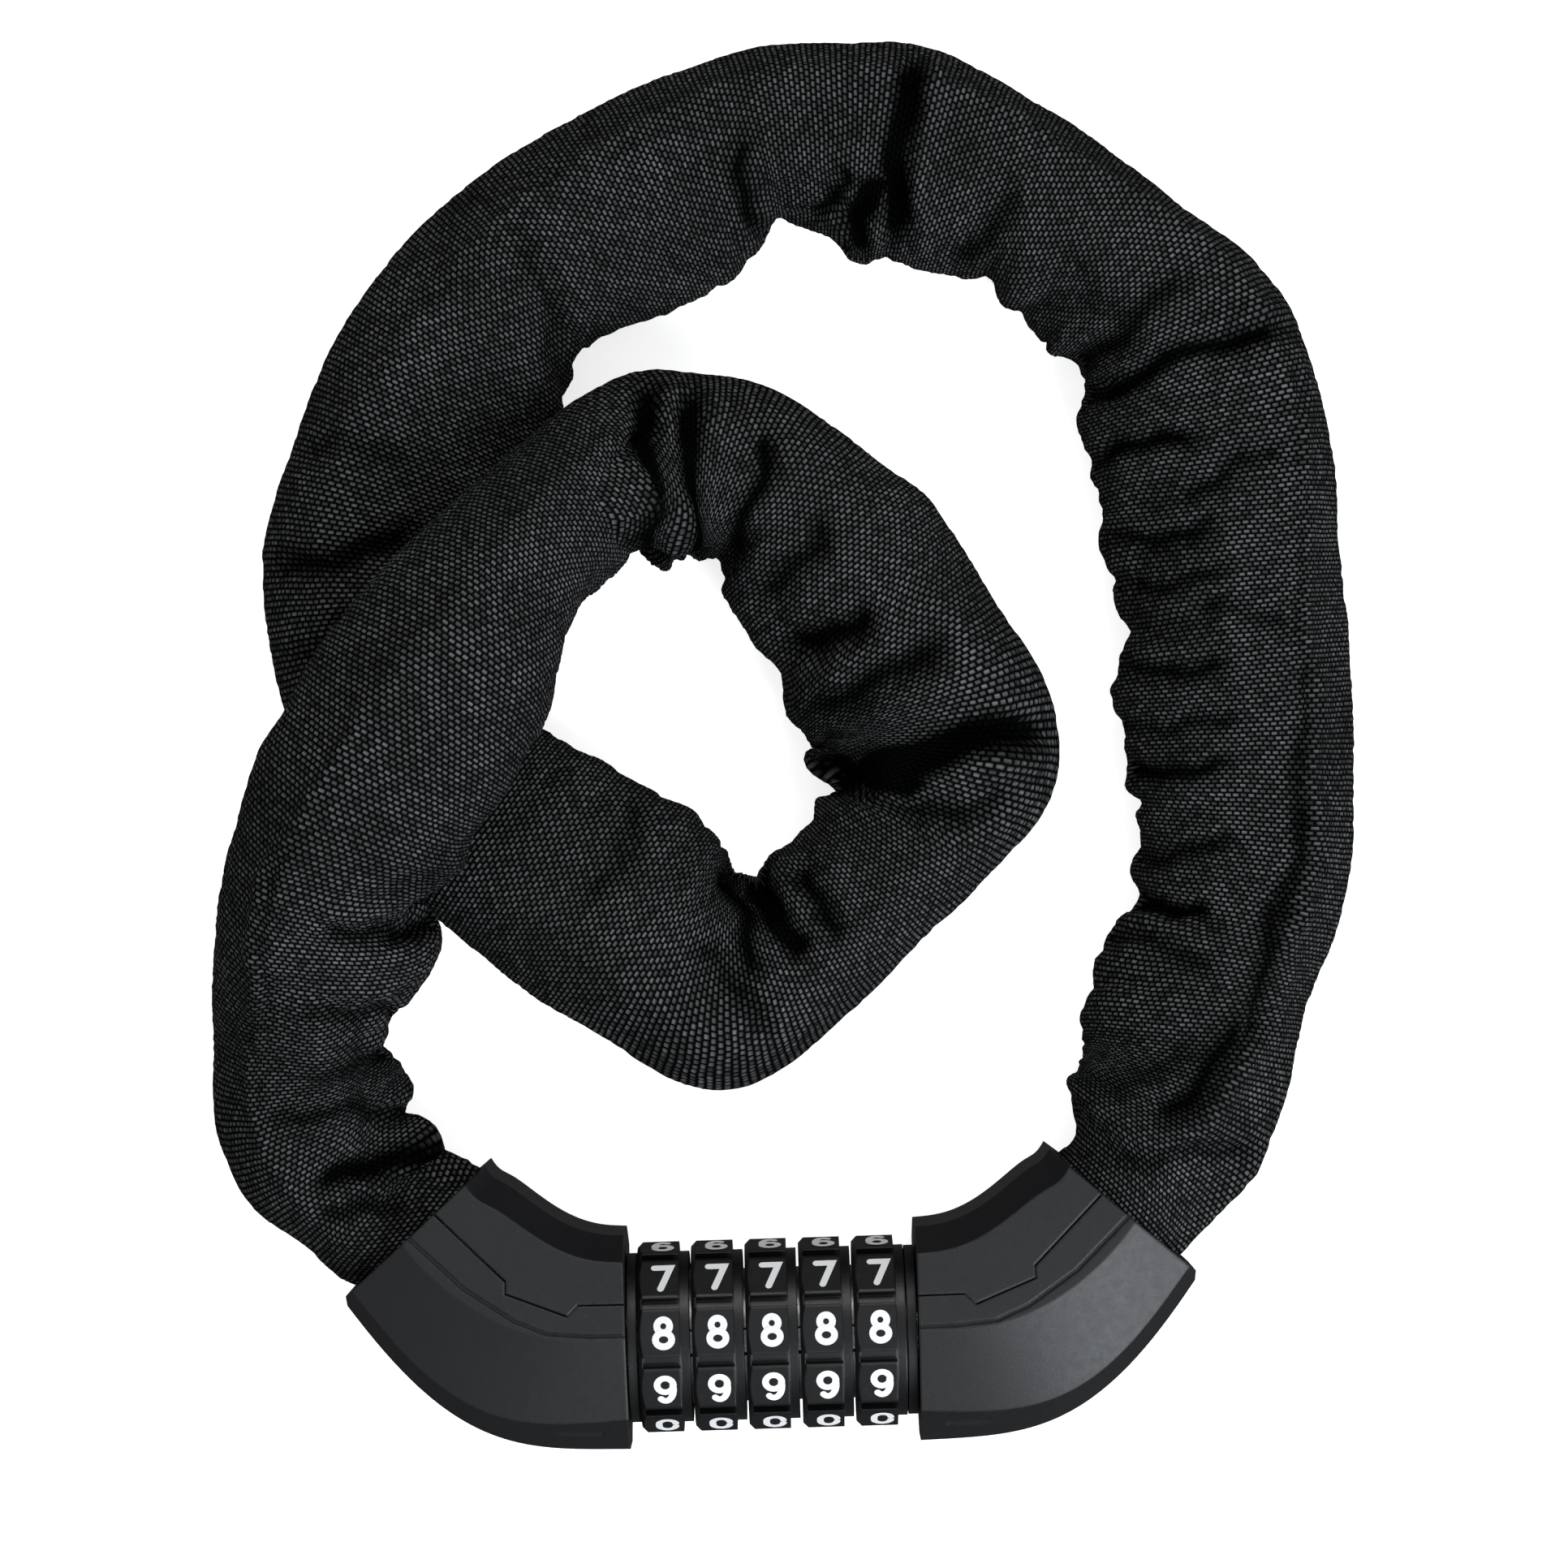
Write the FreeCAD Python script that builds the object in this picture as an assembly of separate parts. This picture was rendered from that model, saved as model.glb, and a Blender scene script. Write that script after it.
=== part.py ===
import FreeCAD, Part
import math
import os

# Five-dial combination lock on a sleeved chain.
# The lock lies on its back on a flat surface: +Z is up, the dials turn about X,
# the bolt head is on the +X side and the chain loops away towards +Y.
# The origin is on the surface, under the middle of the lock body.

V = FreeCAD.Vector
UP = V(0, 0, 1)

# ---------------------------------------------------------------- driving sizes
AXIS_Y = -4.85             # the dial axis, with the lock body centred on Y = 0
AXIS_Z = 13.5              # half the thickness of the housings
CODE_DIALS = 5
DIAL_PITCH = 7.1
DIAL_WIDTH = 6.8
DIAL_RADIUS = 12.6
DIAL_RIM_RADIUS = 11.3
DIAL_BORE_RADIUS = 9.2
DIGITS = 10
FIRST_DIGIT_TILT = 8.5     # the topmost digit leans this many degrees from +Z to +Y

RING_RADIUS = 8.95
RING_RIB_RADIUS = 9.6
RING_BORE_RADIUS = 6.6
RING_WIDTH = 5.1

TUBE_RADIUS = 6.5
TUBE_BORE_RADIUS = 4.1
ROD_RADIUS = 4.0
TOOTH_RADIUS = 7.8
TOOTH_WIDTH = 1.4
TOOTH_SPAN = 3.0
KEYWAY = 3.6

HOUSING_START = 19.2       # the face beside the dials
WALL = 1.9
END_WALL = 1.3
SHELL_GAP = 0.2
FACING = 0.05              # planed off the housings' top and back, to leave true flats
MOUTH_WIDTH = 23.2
MOUTH_HEIGHT = 18.0
MOUTH_DEPTH = 3.0
CHAIN_PIN_RADIUS = 2.1
CHAIN_PIN_DEPTH = 5.0      # pin behind the mouth's face

LINK_WIRE = 5.8
LINK_INNER_WIDTH = 6.9
LINKS = 23                 # odd, so that the link on each pin lies flat
STRAND_LINKS = 5           # from the pivot to the bolt head's pin, the end link counted

SLEEVE_WIDTH = 27.0
SLEEVE_HEIGHT = 21.0
SLEEVE_WALL = 1.0
NECK_WIDTH = 21.0
NECK_HEIGHT = 16.6
NECK_LENGTH = 9.0
NECK_INSET = 1.4
REST_Z = SLEEVE_HEIGHT / 2 + 0.1
PIVOT_DISC = 13.6          # radius of the rounded end of the main sleeve at the pivot
PIVOT_GAP = 0.6
MOUTH_SWING = 16.0         # the strand's sleeve stays this far from the bolt head's pin

# The chain's route on the surface, from the lock's mouth to the bolt head's mouth.
# It passes over its own first stretch. Y is from the dial axis, and Z is the height of
# the sleeve's middle.
ROUTE = [
    (-46.7, 15.7, 13.5), (-60.0, 26.8, 13.2), (-62.3, 43.6, 16.0), (-59.4, 60.4, 26.0),
    (-52.6, 73.6, 32.2), (-41.2, 90.4, 32.2), (-30.2, 105.6, 24.0), (-16.0, 118.2, 11.6),
    (0.6, 116.8, REST_Z), (12.5, 100.6, REST_Z), (32.6, 76.6, REST_Z), (-2.6, 41.8, REST_Z),
    (-25.6, 62.6, REST_Z), (-43.6, 75.2, REST_Z), (-50.8, 92.6, REST_Z), (-49.6, 111.0, REST_Z),
    (-41.0, 129.0, REST_Z), (-25.6, 145.6, REST_Z), (-5.0, 156.6, REST_Z), (17.6, 160.6, REST_Z),
    (39.0, 152.0, REST_Z), (57.6, 138.4, REST_Z), (62.8, 118.0, REST_Z), (63.3, 98.0, REST_Z),
    (65.6, 78.0, REST_Z), (64.0, 58.0, REST_Z), (59.6, 43.0, 11.0), (60.0, 26.6, 12.6),
    (46.7, 15.7, 13.5),
]

# Plan of the right housing at mid-height, as pairs of points across it: the inner, concave
# edge and the outer, convex edge, from the dials to the mouth. Y is from the dial axis.
STATIONS = [
    ((19.2, 14.3), (19.2, -14.3)),
    ((23.0, 14.7), (26.0, -14.1)),
    ((27.2, 16.3), (32.8, -13.3)),
    ((31.0, 18.9), (39.5, -10.9)),
    ((34.1, 21.3), (47.0, -5.3)),
    ((37.2, 24.0), (56.8, 6.7)),
]
CORNER_X = 56.15           # the bevelled outer corner of the mouth
INNER_EDGE_HALF = 7.0      # half-heights of the section's corners
OUTER_EDGE_HALF = 4.0
LOWER_FACET_HALF = 9.5
INNER_BEVEL = 3.0          # plan widths of the section's facets
OUTER_BEVEL_START = 4.6
OUTER_BEVEL_END = 2.3
RIDGE_START = 0.44         # where the flat top ends, as a fraction across the housing
RIDGE_END = 0.54

# The stepped joint between the two shells, seen from above. Y is from the dial axis.
PARTING = [(15.0, 5.9), (25.2, 6.0), (26.6, 4.6), (34.6, 7.8), (34.5, 9.4), (52.0, 27.0)]
RIDGE_LINE = [(17.0, 1.7), (24.1, 1.8), (29.4, 2.3), (33.6, 4.1), (40.0, 8.5), (52.0, 20.2)]
GROOVE_WIDTH = 0.5
GROOVE_DEPTH = 0.35

MOUTH_MIDDLE = V(46.65, 15.65 + AXIS_Y, AXIS_Z)
MOUTH_NORMAL = V(0.662, 0.7495, 0).normalize()


# ---------------------------------------------------------------- small helpers
def save(shape, name):
    shape.exportStep("parts/" + name + ".step")
    words = (name, len(shape.Solids), shape.Volume, shape.isValid())
    print("%-18s solids %2d  volume %9.1f  valid %s" % words)


def x_cylinder(radius, x_from, x_to):
    return Part.makeCylinder(radius, x_to - x_from, V(x_from, AXIS_Y, AXIS_Z), V(1, 0, 0))


def x_ring(outer, inner, x_from, x_to):
    return x_cylinder(outer, x_from, x_to).cut(x_cylinder(inner, x_from - 1, x_to + 1))


def box(low, high):
    return Part.makeBox(high[0] - low[0], high[1] - low[1], high[2] - low[2], V(*low))


def turned(shape, degrees):
    """The shape turned about the dial axis."""
    copy = shape.copy()
    copy.rotate(V(0, AXIS_Y, AXIS_Z), V(1, 0, 0), degrees)
    return copy


def mirrored(shape):
    return shape.mirror(V(0, 0, 0), V(1, 0, 0))


def prism(points, z_from, z_to):
    """A vertical prism on a plan outline."""
    corners = [V(x, y, z_from) for x, y in points]
    return Part.Face(Part.makePolygon(corners + corners[:1])).extrude(V(0, 0, z_to - z_from))


def obround(width, height, middle, along):
    """A flat closed outline with full round ends, square to the direction along."""
    side = UP.cross(along).normalize()
    rise = along.cross(side).normalize()
    flat = (width - height) / 2
    half = height / 2

    def at(across, up):
        return middle + side * across + rise * up

    return Part.Wire([
        Part.LineSegment(at(-flat, -half), at(flat, -half)).toShape(),
        Part.Arc(at(flat, -half), at(flat + half, 0), at(flat, half)).toShape(),
        Part.LineSegment(at(flat, half), at(-flat, half)).toShape(),
        Part.Arc(at(-flat, half), at(-flat - half, 0), at(-flat, -half)).toShape(),
    ])


def obround_bar(width, height, start, along, length):
    return Part.Face(obround(width, height, start, along)).extrude(along * length)


# ---------------------------------------------------------------- dials and their insides
def dial_middle(number):
    return (number - (CODE_DIALS - 1) / 2) * DIAL_PITCH


def dial(number):
    """A knurled ring with ten digit pads, finger grooves between them and a lower rim."""
    middle = dial_middle(number)
    left = middle - DIAL_WIDTH / 2
    right = middle + DIAL_WIDTH / 2
    band = x_ring(DIAL_RADIUS, DIAL_BORE_RADIUS, left, right - 1.3)
    band = band.fuse(x_ring(DIAL_RIM_RADIUS, DIAL_BORE_RADIUS, right - 1.4, right))
    lip = Part.makeCone(DIAL_RADIUS - 0.7, DIAL_RADIUS, 0.7, V(left, AXIS_Y, AXIS_Z), V(1, 0, 0))
    band = band.common(lip.fuse(x_cylinder(DIAL_RADIUS, left + 0.7, right)))
    step = 360.0 / DIGITS
    pad_top = AXIS_Z + DIAL_RADIUS * math.cos(math.radians(step * 0.36))
    cutters = []
    for place in range(DIGITS):
        groove = box((left + 0.6, AXIS_Y - 0.75, AXIS_Z + DIAL_RADIUS - 1.25),
                     (right - 1.3, AXIS_Y + 0.75, AXIS_Z + DIAL_RADIUS + 1))
        flat = box((left - 1, AXIS_Y - 6, pad_top), (right - 1.3, AXIS_Y + 6, AXIS_Z + DIAL_RADIUS + 2))
        cutters.append(turned(groove, step * (place + 0.5) - FIRST_DIGIT_TILT))
        cutters.append(turned(flat, step * place - FIRST_DIGIT_TILT))
        spline = box((left - 1, AXIS_Y - 0.75, AXIS_Z + DIAL_BORE_RADIUS - 0.6),
                     (right + 1, AXIS_Y + 0.75, AXIS_Z + RING_RIB_RADIUS + 0.15))
        cutters.append(turned(spline, step * place))
    return band.cut(cutters)


def code_ring(number):
    """The ring inside a dial. Its keyway lets the bolt's tooth pass at one digit only."""
    middle = dial_middle(number)
    left = middle - RING_WIDTH / 2
    right = middle + RING_WIDTH / 2
    ring = x_ring(RING_RADIUS, RING_BORE_RADIUS, left, right)
    step = 360.0 / DIGITS
    ribs = []
    notches = []
    for place in range(DIGITS):
        rib = box((left, AXIS_Y - 0.6, AXIS_Z + RING_RADIUS - 0.4),
                  (right, AXIS_Y + 0.6, AXIS_Z + RING_RIB_RADIUS))
        ribs.append(turned(rib, step * place))
        notch_start = V(left - 1, AXIS_Y, AXIS_Z - RING_BORE_RADIUS)
        notch = Part.makeCylinder(0.5, RING_WIDTH + 2, notch_start, V(1, 0, 0))
        notches.append(turned(notch, step * place))
    keyway = tooth_gap(left - 1, right + 1, 8.2)
    return ring.fuse(ribs).removeSplitter().cut(notches + [keyway])


def tooth_gap(x_from, x_to, reach):
    """The space that the bolt's teeth pass through."""
    return box((x_from, AXIS_Y - KEYWAY / 2, AXIS_Z + 4), (x_to, AXIS_Y + KEYWAY / 2, AXIS_Z + reach))


def spacer_washers():
    """Open washers fixed on the tube, between the code rings."""
    washers = []
    for number in range(1, CODE_DIALS):
        middle = dial_middle(number) - DIAL_PITCH / 2
        washer = x_ring(8.8, TUBE_RADIUS + 0.05, middle - 0.85, middle + 0.85)
        washers.append(washer.cut(tooth_gap(middle - 2, middle + 2, 10)))
    return Part.Compound(washers)


def spindle_tube():
    """The fixed tube that carries the code rings, slotted for the bolt's teeth and the click spring."""
    tube = x_ring(TUBE_RADIUS, TUBE_BORE_RADIUS, -31.0, 19.0)
    slot = box((-20.0, AXIS_Y - KEYWAY / 2, AXIS_Z), (20.0, AXIS_Y + KEYWAY / 2, AXIS_Z + 8))
    channel = box((-18.0, AXIS_Y - 1.35, AXIS_Z - 8), (17.4, AXIS_Y + 1.35, AXIS_Z))
    return tube.cut([slot, channel, cross_hole(-26.0, 1.55)])


def cross_hole(x, radius):
    return Part.makeCylinder(radius, 40, V(x, AXIS_Y - 20, AXIS_Z), V(0, 1, 0))


def collar(x_from, x_to):
    """A black end ring between the dials and a housing, open where the teeth pass."""
    ring = x_ring(11.2, TUBE_RADIUS + 0.05, x_from, x_to)
    return ring.cut(tooth_gap(x_from - 1, x_to + 1, 8.4))


def click_spring():
    """A sprung strip in the tube's lower channel, with a bump under each code ring."""
    floor = AXIS_Z - 5.6
    strip = box((-17.6, AXIS_Y - 1.2, floor - 0.2), (17.0, AXIS_Y + 1.2, floor + 0.2))
    bumps = []
    for number in range(CODE_DIALS):
        bump = Part.makeCylinder(1.2, 2.4, V(dial_middle(number), AXIS_Y - 1.2, floor + 0.35), V(0, 1, 0))
        bumps.append(bump.common(box((-20, AXIS_Y - 2, floor - 1), (20, AXIS_Y + 2, floor + 0.1))))
    return strip.fuse(bumps).removeSplitter()


def bolt_rod():
    """The bolt: a rod with a tooth for each code ring, pinned in the bolt head."""
    rod = x_cylinder(ROD_RADIUS, -19.4, 31.0)
    tip = Part.makeCone(2.8, ROD_RADIUS, 1.2, V(-20.6, AXIS_Y, AXIS_Z), V(1, 0, 0))
    teeth = []
    for number in range(CODE_DIALS):
        x = dial_middle(number) - DIAL_PITCH / 2
        teeth.append(box((x - TOOTH_WIDTH / 2, AXIS_Y - TOOTH_SPAN / 2, AXIS_Z),
                         (x + TOOTH_WIDTH / 2, AXIS_Y + TOOTH_SPAN / 2, AXIS_Z + TOOTH_RADIUS)))
    return rod.fuse([tip] + teeth).removeSplitter().cut(cross_hole(26.0, 1.55))


# ---------------------------------------------------------------- housings
def station_outline(place, inset):
    """The ten-sided section at one station of the right housing, drawn in by inset."""
    inner, outer = STATIONS[place]
    share = place / (len(STATIONS) - 1)
    a = V(inner[0], inner[1] + AXIS_Y, AXIS_Z)
    b = V(outer[0], outer[1] + AXIS_Y, AXIS_Z)
    across = (b - a).normalize()
    width = (b - a).Length
    bevel = OUTER_BEVEL_START + (OUTER_BEVEL_END - OUTER_BEVEL_START) * share
    ridge = width * (RIDGE_START + (RIDGE_END - RIDGE_START) * share)
    half = [(inset, INNER_EDGE_HALF - inset * 0.4),
            (INNER_BEVEL + inset * 0.55, AXIS_Z + FACING - inset),
            (ridge, AXIS_Z + FACING - inset),
            (width - bevel - inset * 0.5, LOWER_FACET_HALF - inset * 0.75),
            (width - inset, OUTER_EDGE_HALF - inset * 0.5)]
    ring = [a + across * d + UP * h for d, h in half]
    ring += [a + across * d - UP * h for d, h in reversed(half)]
    return Part.makePolygon(ring + ring[:1])


def housing_form(inset):
    sections = [station_outline(place, inset) for place in range(len(STATIONS))]
    form = Part.makeLoft(sections, True, False)
    between = box((0, -40, inset), (CORNER_X - inset, 60, 2 * AXIS_Z - inset))
    return form.common(between)


def groove_wall(line, width, z_from, z_to):
    """A thin upright wall along a plan line, to cut a groove with."""
    left = []
    right = []
    for place, point in enumerate(line):
        before = line[max(place - 1, 0)]
        after = line[min(place + 1, len(line) - 1)]
        run = V(after[0] - before[0], after[1] - before[1], 0).normalize()
        side = V(-run.y, run.x, 0) * (width / 2)
        left.append((point[0] + side.x, point[1] + side.y + AXIS_Y))
        right.append((point[0] - side.x, point[1] - side.y + AXIS_Y))
    return prism(left + right[::-1], z_from, z_to)


def beyond_mouth(setback):
    """Everything beyond the mouth's face, set back into the housing."""
    slab = Part.makeBox(60, 60, 60, V(-30, -30, -30))
    middle = MOUTH_MIDDLE + MOUTH_NORMAL * (30 - setback)
    slab.Placement = FreeCAD.Placement(middle, FreeCAD.Rotation(V(1, 0, 0), MOUTH_NORMAL))
    return slab


def hollow_housing():
    """The right housing's hollow form with its mouth, bolt hole and surface grooves."""
    form = housing_form(0)
    hollow = housing_form(WALL)
    hollow = hollow.common(box((HOUSING_START + 1.6, -40, 0), (80, 60, 40)))
    hollow = hollow.cut(beyond_mouth(END_WALL))
    mouth = obround_bar(MOUTH_WIDTH, MOUTH_HEIGHT, MOUTH_MIDDLE - MOUTH_NORMAL * 6, MOUTH_NORMAL, 16)
    spindle_hole = x_cylinder(TUBE_RADIUS + 0.15, HOUSING_START - 1, HOUSING_START + 3)
    grooves = [groove_wall(RIDGE_LINE, GROOVE_WIDTH, 2 * AXIS_Z - GROOVE_DEPTH, 2 * AXIS_Z + 2),
               groove_wall(RIDGE_LINE, GROOVE_WIDTH, -2, GROOVE_DEPTH)]
    shell = form.cut([hollow, mouth, spindle_hole] + grooves)
    return shell.cut(strip_recess())


def strip_recess():
    """A short shallow slot in the narrow outer facet, near the dials."""
    slots = []
    for up in (1, -1):
        bar = obround_bar(6.0, 1.1, V(0, 0, 0), V(0, -1, 0), 1.2)
        bar.rotate(V(0, 0, 0), V(1, 0, 0), -52 * up)
        bar.translate(V(25.6, AXIS_Y - 11.7, AXIS_Z + 7.0 * up))
        slots.append(bar)
    return Part.Compound(slots)


def inner_side(shift):
    """Everything on the concave side of the stepped joint."""
    points = [(x + shift * 0.7, y - shift + AXIS_Y) for x, y in PARTING]
    return prism(points + [(52.0, 60.0), (0.0, 60.0), (0.0, 5.9 - shift + AXIS_Y)], -5, 35)


def shells():
    """The two shells of the right housing."""
    whole = hollow_housing()
    inner = whole.common(inner_side(0))
    outer = whole.cut(inner_side(SHELL_GAP))
    return inner, outer


def mouth_pin_middle():
    return MOUTH_MIDDLE - MOUTH_NORMAL * CHAIN_PIN_DEPTH


def core_block(bore, pin_x):
    """The metal block inside the right housing: a bore at the dials, a forked lug at the mouth."""
    form = housing_form(WALL + 0.25)
    form = form.common(box((HOUSING_START + 1.9, -40, 0), (80, 60, 40)))
    pin = mouth_pin_middle()
    pocket = Part.makeCylinder(11.6, 9.0, V(pin.x, pin.y, AXIS_Z - 4.5), UP)
    channel = Part.makeBox(20, 23.2, 9.0, V(0, -11.6, -4.5))
    channel.Placement = FreeCAD.Placement(pin, FreeCAD.Rotation(V(1, 0, 0), MOUTH_NORMAL))
    neck_start = MOUTH_MIDDLE - MOUTH_NORMAL * MOUTH_DEPTH
    neck = obround_bar(MOUTH_WIDTH, MOUTH_HEIGHT, neck_start, MOUTH_NORMAL, 9)
    pin_hole = Part.makeCylinder(CHAIN_PIN_RADIUS + 0.03, 40, V(pin.x, pin.y, -5), UP)
    tube_hole = x_cylinder(bore, 15.0, 31.4)
    holes = [pocket, channel, neck, pin_hole, tube_hole, cross_hole(pin_x, 1.55)]
    return form.cut([beyond_mouth(END_WALL + 0.25)] + holes)


def chain_pin():
    pin = mouth_pin_middle()
    return Part.makeCylinder(CHAIN_PIN_RADIUS, 22.0, V(pin.x, pin.y, AXIS_Z - 11.0), UP)


def cross_pin(x):
    return Part.makeCylinder(1.5, 17.0, V(x, AXIS_Y - 8.0, AXIS_Z), V(0, 1, 0))


# ---------------------------------------------------------------- chain and sleeve
def level(vector):
    return V(vector.x, vector.y, 0).normalize()


def route_corners():
    return [V(x, y + AXIS_Y, z) for x, y, z in ROUTE]


def route_edges():
    """Straight runs joined by tangent arcs, each as large as its two runs allow."""
    corners = route_corners()
    edges = []
    reached = corners[0]
    for before, corner, after in zip(corners, corners[1:], corners[2:]):
        coming = (corner - before).normalize()
        going = (after - corner).normalize()
        turn = coming.getAngle(going)
        trim = 0.45 * min((corner - before).Length, (after - corner).Length)
        radius = trim / math.tan(turn / 2)
        print("bend at %6.1f %6.1f: turn %4.1f, radius %6.1f"
              % (corner.x, corner.y, math.degrees(turn), radius))
        start = corner - coming * trim
        end = corner + going * trim
        inwards = (going - coming).normalize()
        top = corner + inwards * (math.hypot(trim, radius) - radius)
        edges.append(Part.LineSegment(reached, start).toShape())
        edges.append(Part.Arc(start, top, end).toShape())
        reached = end
    edges.append(Part.LineSegment(reached, corners[-1]).toShape())
    return edges


def swept_stretch(edge, width, height):
    """The solid that an upright obround section sweeps along one edge of the route."""
    start = edge.valueAt(edge.FirstParameter)
    end = edge.valueAt(edge.LastParameter)
    section = obround(width, height, start, level(edge.tangentAt(edge.FirstParameter)))
    if edge.Curve.TypeId == "Part::GeomLine":
        return Part.Face(section).extrude(end - start)
    if abs(edge.Curve.Axis.z) > 0.999999:
        angle = math.degrees(edge.LastParameter - edge.FirstParameter)
        return Part.Face(section).revolve(edge.Curve.Center, edge.Curve.Axis, angle)
    pipe = Part.BRepOffsetAPI.MakePipeShell(Part.Wire([edge]))
    pipe.setBiNormalMode(UP)
    pipe.add(section, False, False)
    pipe.build()
    pipe.makeSolid()
    return pipe.shape()


def neck(start, along, grow):
    """A straight taper from the size of the mouth to the size of the sleeve."""
    small = obround(NECK_WIDTH - grow, NECK_HEIGHT - grow, start - along * NECK_INSET, level(along))
    large = obround(SLEEVE_WIDTH - grow, SLEEVE_HEIGHT - grow, start + along * NECK_LENGTH, level(along))
    return Part.makeLoft([small, large], True, True)


def whole_sleeve(edges):
    """The sleeve as one hollow tube: its neck at the lock, then each run and bend."""
    inside = 2 * SLEEVE_WALL
    start = edges[0].valueAt(edges[0].FirstParameter)
    after_neck = edges[0].valueAt(edges[0].LastParameter)
    along = (after_neck - start).normalize()
    shortened = Part.LineSegment(start + along * NECK_LENGTH, after_neck).toShape()
    stretches = []
    for edge in [shortened] + edges[1:]:
        outer = swept_stretch(edge, SLEEVE_WIDTH, SLEEVE_HEIGHT)
        inner = swept_stretch(edge, SLEEVE_WIDTH - inside, SLEEVE_HEIGHT - inside)
        stretches.append(outer.cut(inner))
    hollow_neck = neck(start, along, 0).cut(neck(start, along, inside))
    length = sum(edge.Length for edge in edges)
    flat = SLEEVE_WIDTH - SLEEVE_HEIGHT
    bore = SLEEVE_HEIGHT - inside
    area = flat * inside + math.pi * (SLEEVE_HEIGHT ** 2 - bore ** 2) / 4
    tube = hollow_neck.fuse(stretches, 0.02)
    print("sleeve: section x length %.0f, volume %.0f" % (area * length, tube.Volume))
    return tube


def step_along(track, inner_length):
    """The chain's joints along a track. Flat links reach from bend to bend, upright ones further."""
    bend = LINK_INNER_WIDTH + LINK_WIRE
    spans = [inner_length + LINK_WIRE - bend, inner_length + LINK_WIRE]
    joints = [track[0]]
    place = 0
    for number in range(LINKS):
        span = spans[number % 2]
        while place < len(track) - 1 and (track[place] - joints[-1]).Length < span:
            place += 1
        joints.append(track[place])
    return joints, place


def chain_joints(track):
    """Joints of a chain whose links are just long enough to fill the track."""
    low = 15.0
    high = 40.0
    for _ in range(40):
        inner_length = (low + high) / 2
        joints, place = step_along(track, inner_length)
        if place >= len(track) - 1:
            high = inner_length
        else:
            low = inner_length
    joints, place = step_along(track, low)
    joints[-1] = track[-1]
    print("%d links, %.2f long inside" % (LINKS, low))
    return joints, low


def link(tip, other_tip, inner_length, upright):
    """A stadium-shaped link whose end wires run through two points, flat or upright."""
    along = (other_tip - tip).normalize()
    side = UP.cross(along).normalize()
    if upright:
        side = along.cross(side).normalize()
    bend = (LINK_INNER_WIDTH + LINK_WIRE) / 2
    leg = inner_length + LINK_WIRE - 2 * bend
    middle = (tip + other_tip) * 0.5
    a = middle - along * (leg / 2)
    b = middle + along * (leg / 2)
    path = Part.Wire([
        Part.LineSegment(a + side * bend, b + side * bend).toShape(),
        Part.Arc(b + side * bend, b + along * bend, b - side * bend).toShape(),
        Part.LineSegment(b - side * bend, a - side * bend).toShape(),
        Part.Arc(a - side * bend, a - along * bend, a + side * bend).toShape(),
    ])
    wire = Part.Wire(Part.makeCircle(LINK_WIRE / 2, a + side * bend, along))
    return path.makePipeShell([wire], True, False)


def chain(joints, inner_length):
    """Every link. An upright one turns in the bends of the flat ones beside it."""
    bend = (LINK_INNER_WIDTH + LINK_WIRE) / 2
    links = []
    for place, (near, far) in enumerate(zip(joints, joints[1:])):
        if place % 2 == 1:
            links.append(link(near, far, inner_length, True))
            continue
        reach = level(far - near) * bend
        tip = near - reach
        other_tip = far + reach
        if place > 0:
            tip.z = near.z - bend * (near - joints[place - 1]).normalize().z
        if place < LINKS - 1:
            other_tip.z = far.z + bend * (joints[place + 2] - far).normalize().z
        links.append(link(tip, other_tip, inner_length, False))
    return links


def straight_lead(start, end, count):
    return [start + (end - start) * (place / count) for place in range(count)]


def split_sleeve(tube, pivot):
    """The sleeve in two: the long stretch, and the strand that hinges at the pivot."""
    right_pin = mouth_pin_middle()
    strand_side = box((44, 35, -20), (120, pivot.y, 80)).fuse(box((25, -60, -20), (120, 40, 80)))
    disc = Part.makeCylinder(PIVOT_DISC, 100, V(pivot.x, pivot.y, -20), UP)
    wide_disc = Part.makeCylinder(PIVOT_DISC + PIVOT_GAP, 100, V(pivot.x, pivot.y, -20), UP)
    swing = Part.makeCylinder(MOUTH_SWING, 100, V(right_pin.x, right_pin.y, -20), UP)
    main = tube.cut(strand_side.cut(disc))
    strand = tube.common(strand_side).cut([wide_disc, swing])
    return main, strand


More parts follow.
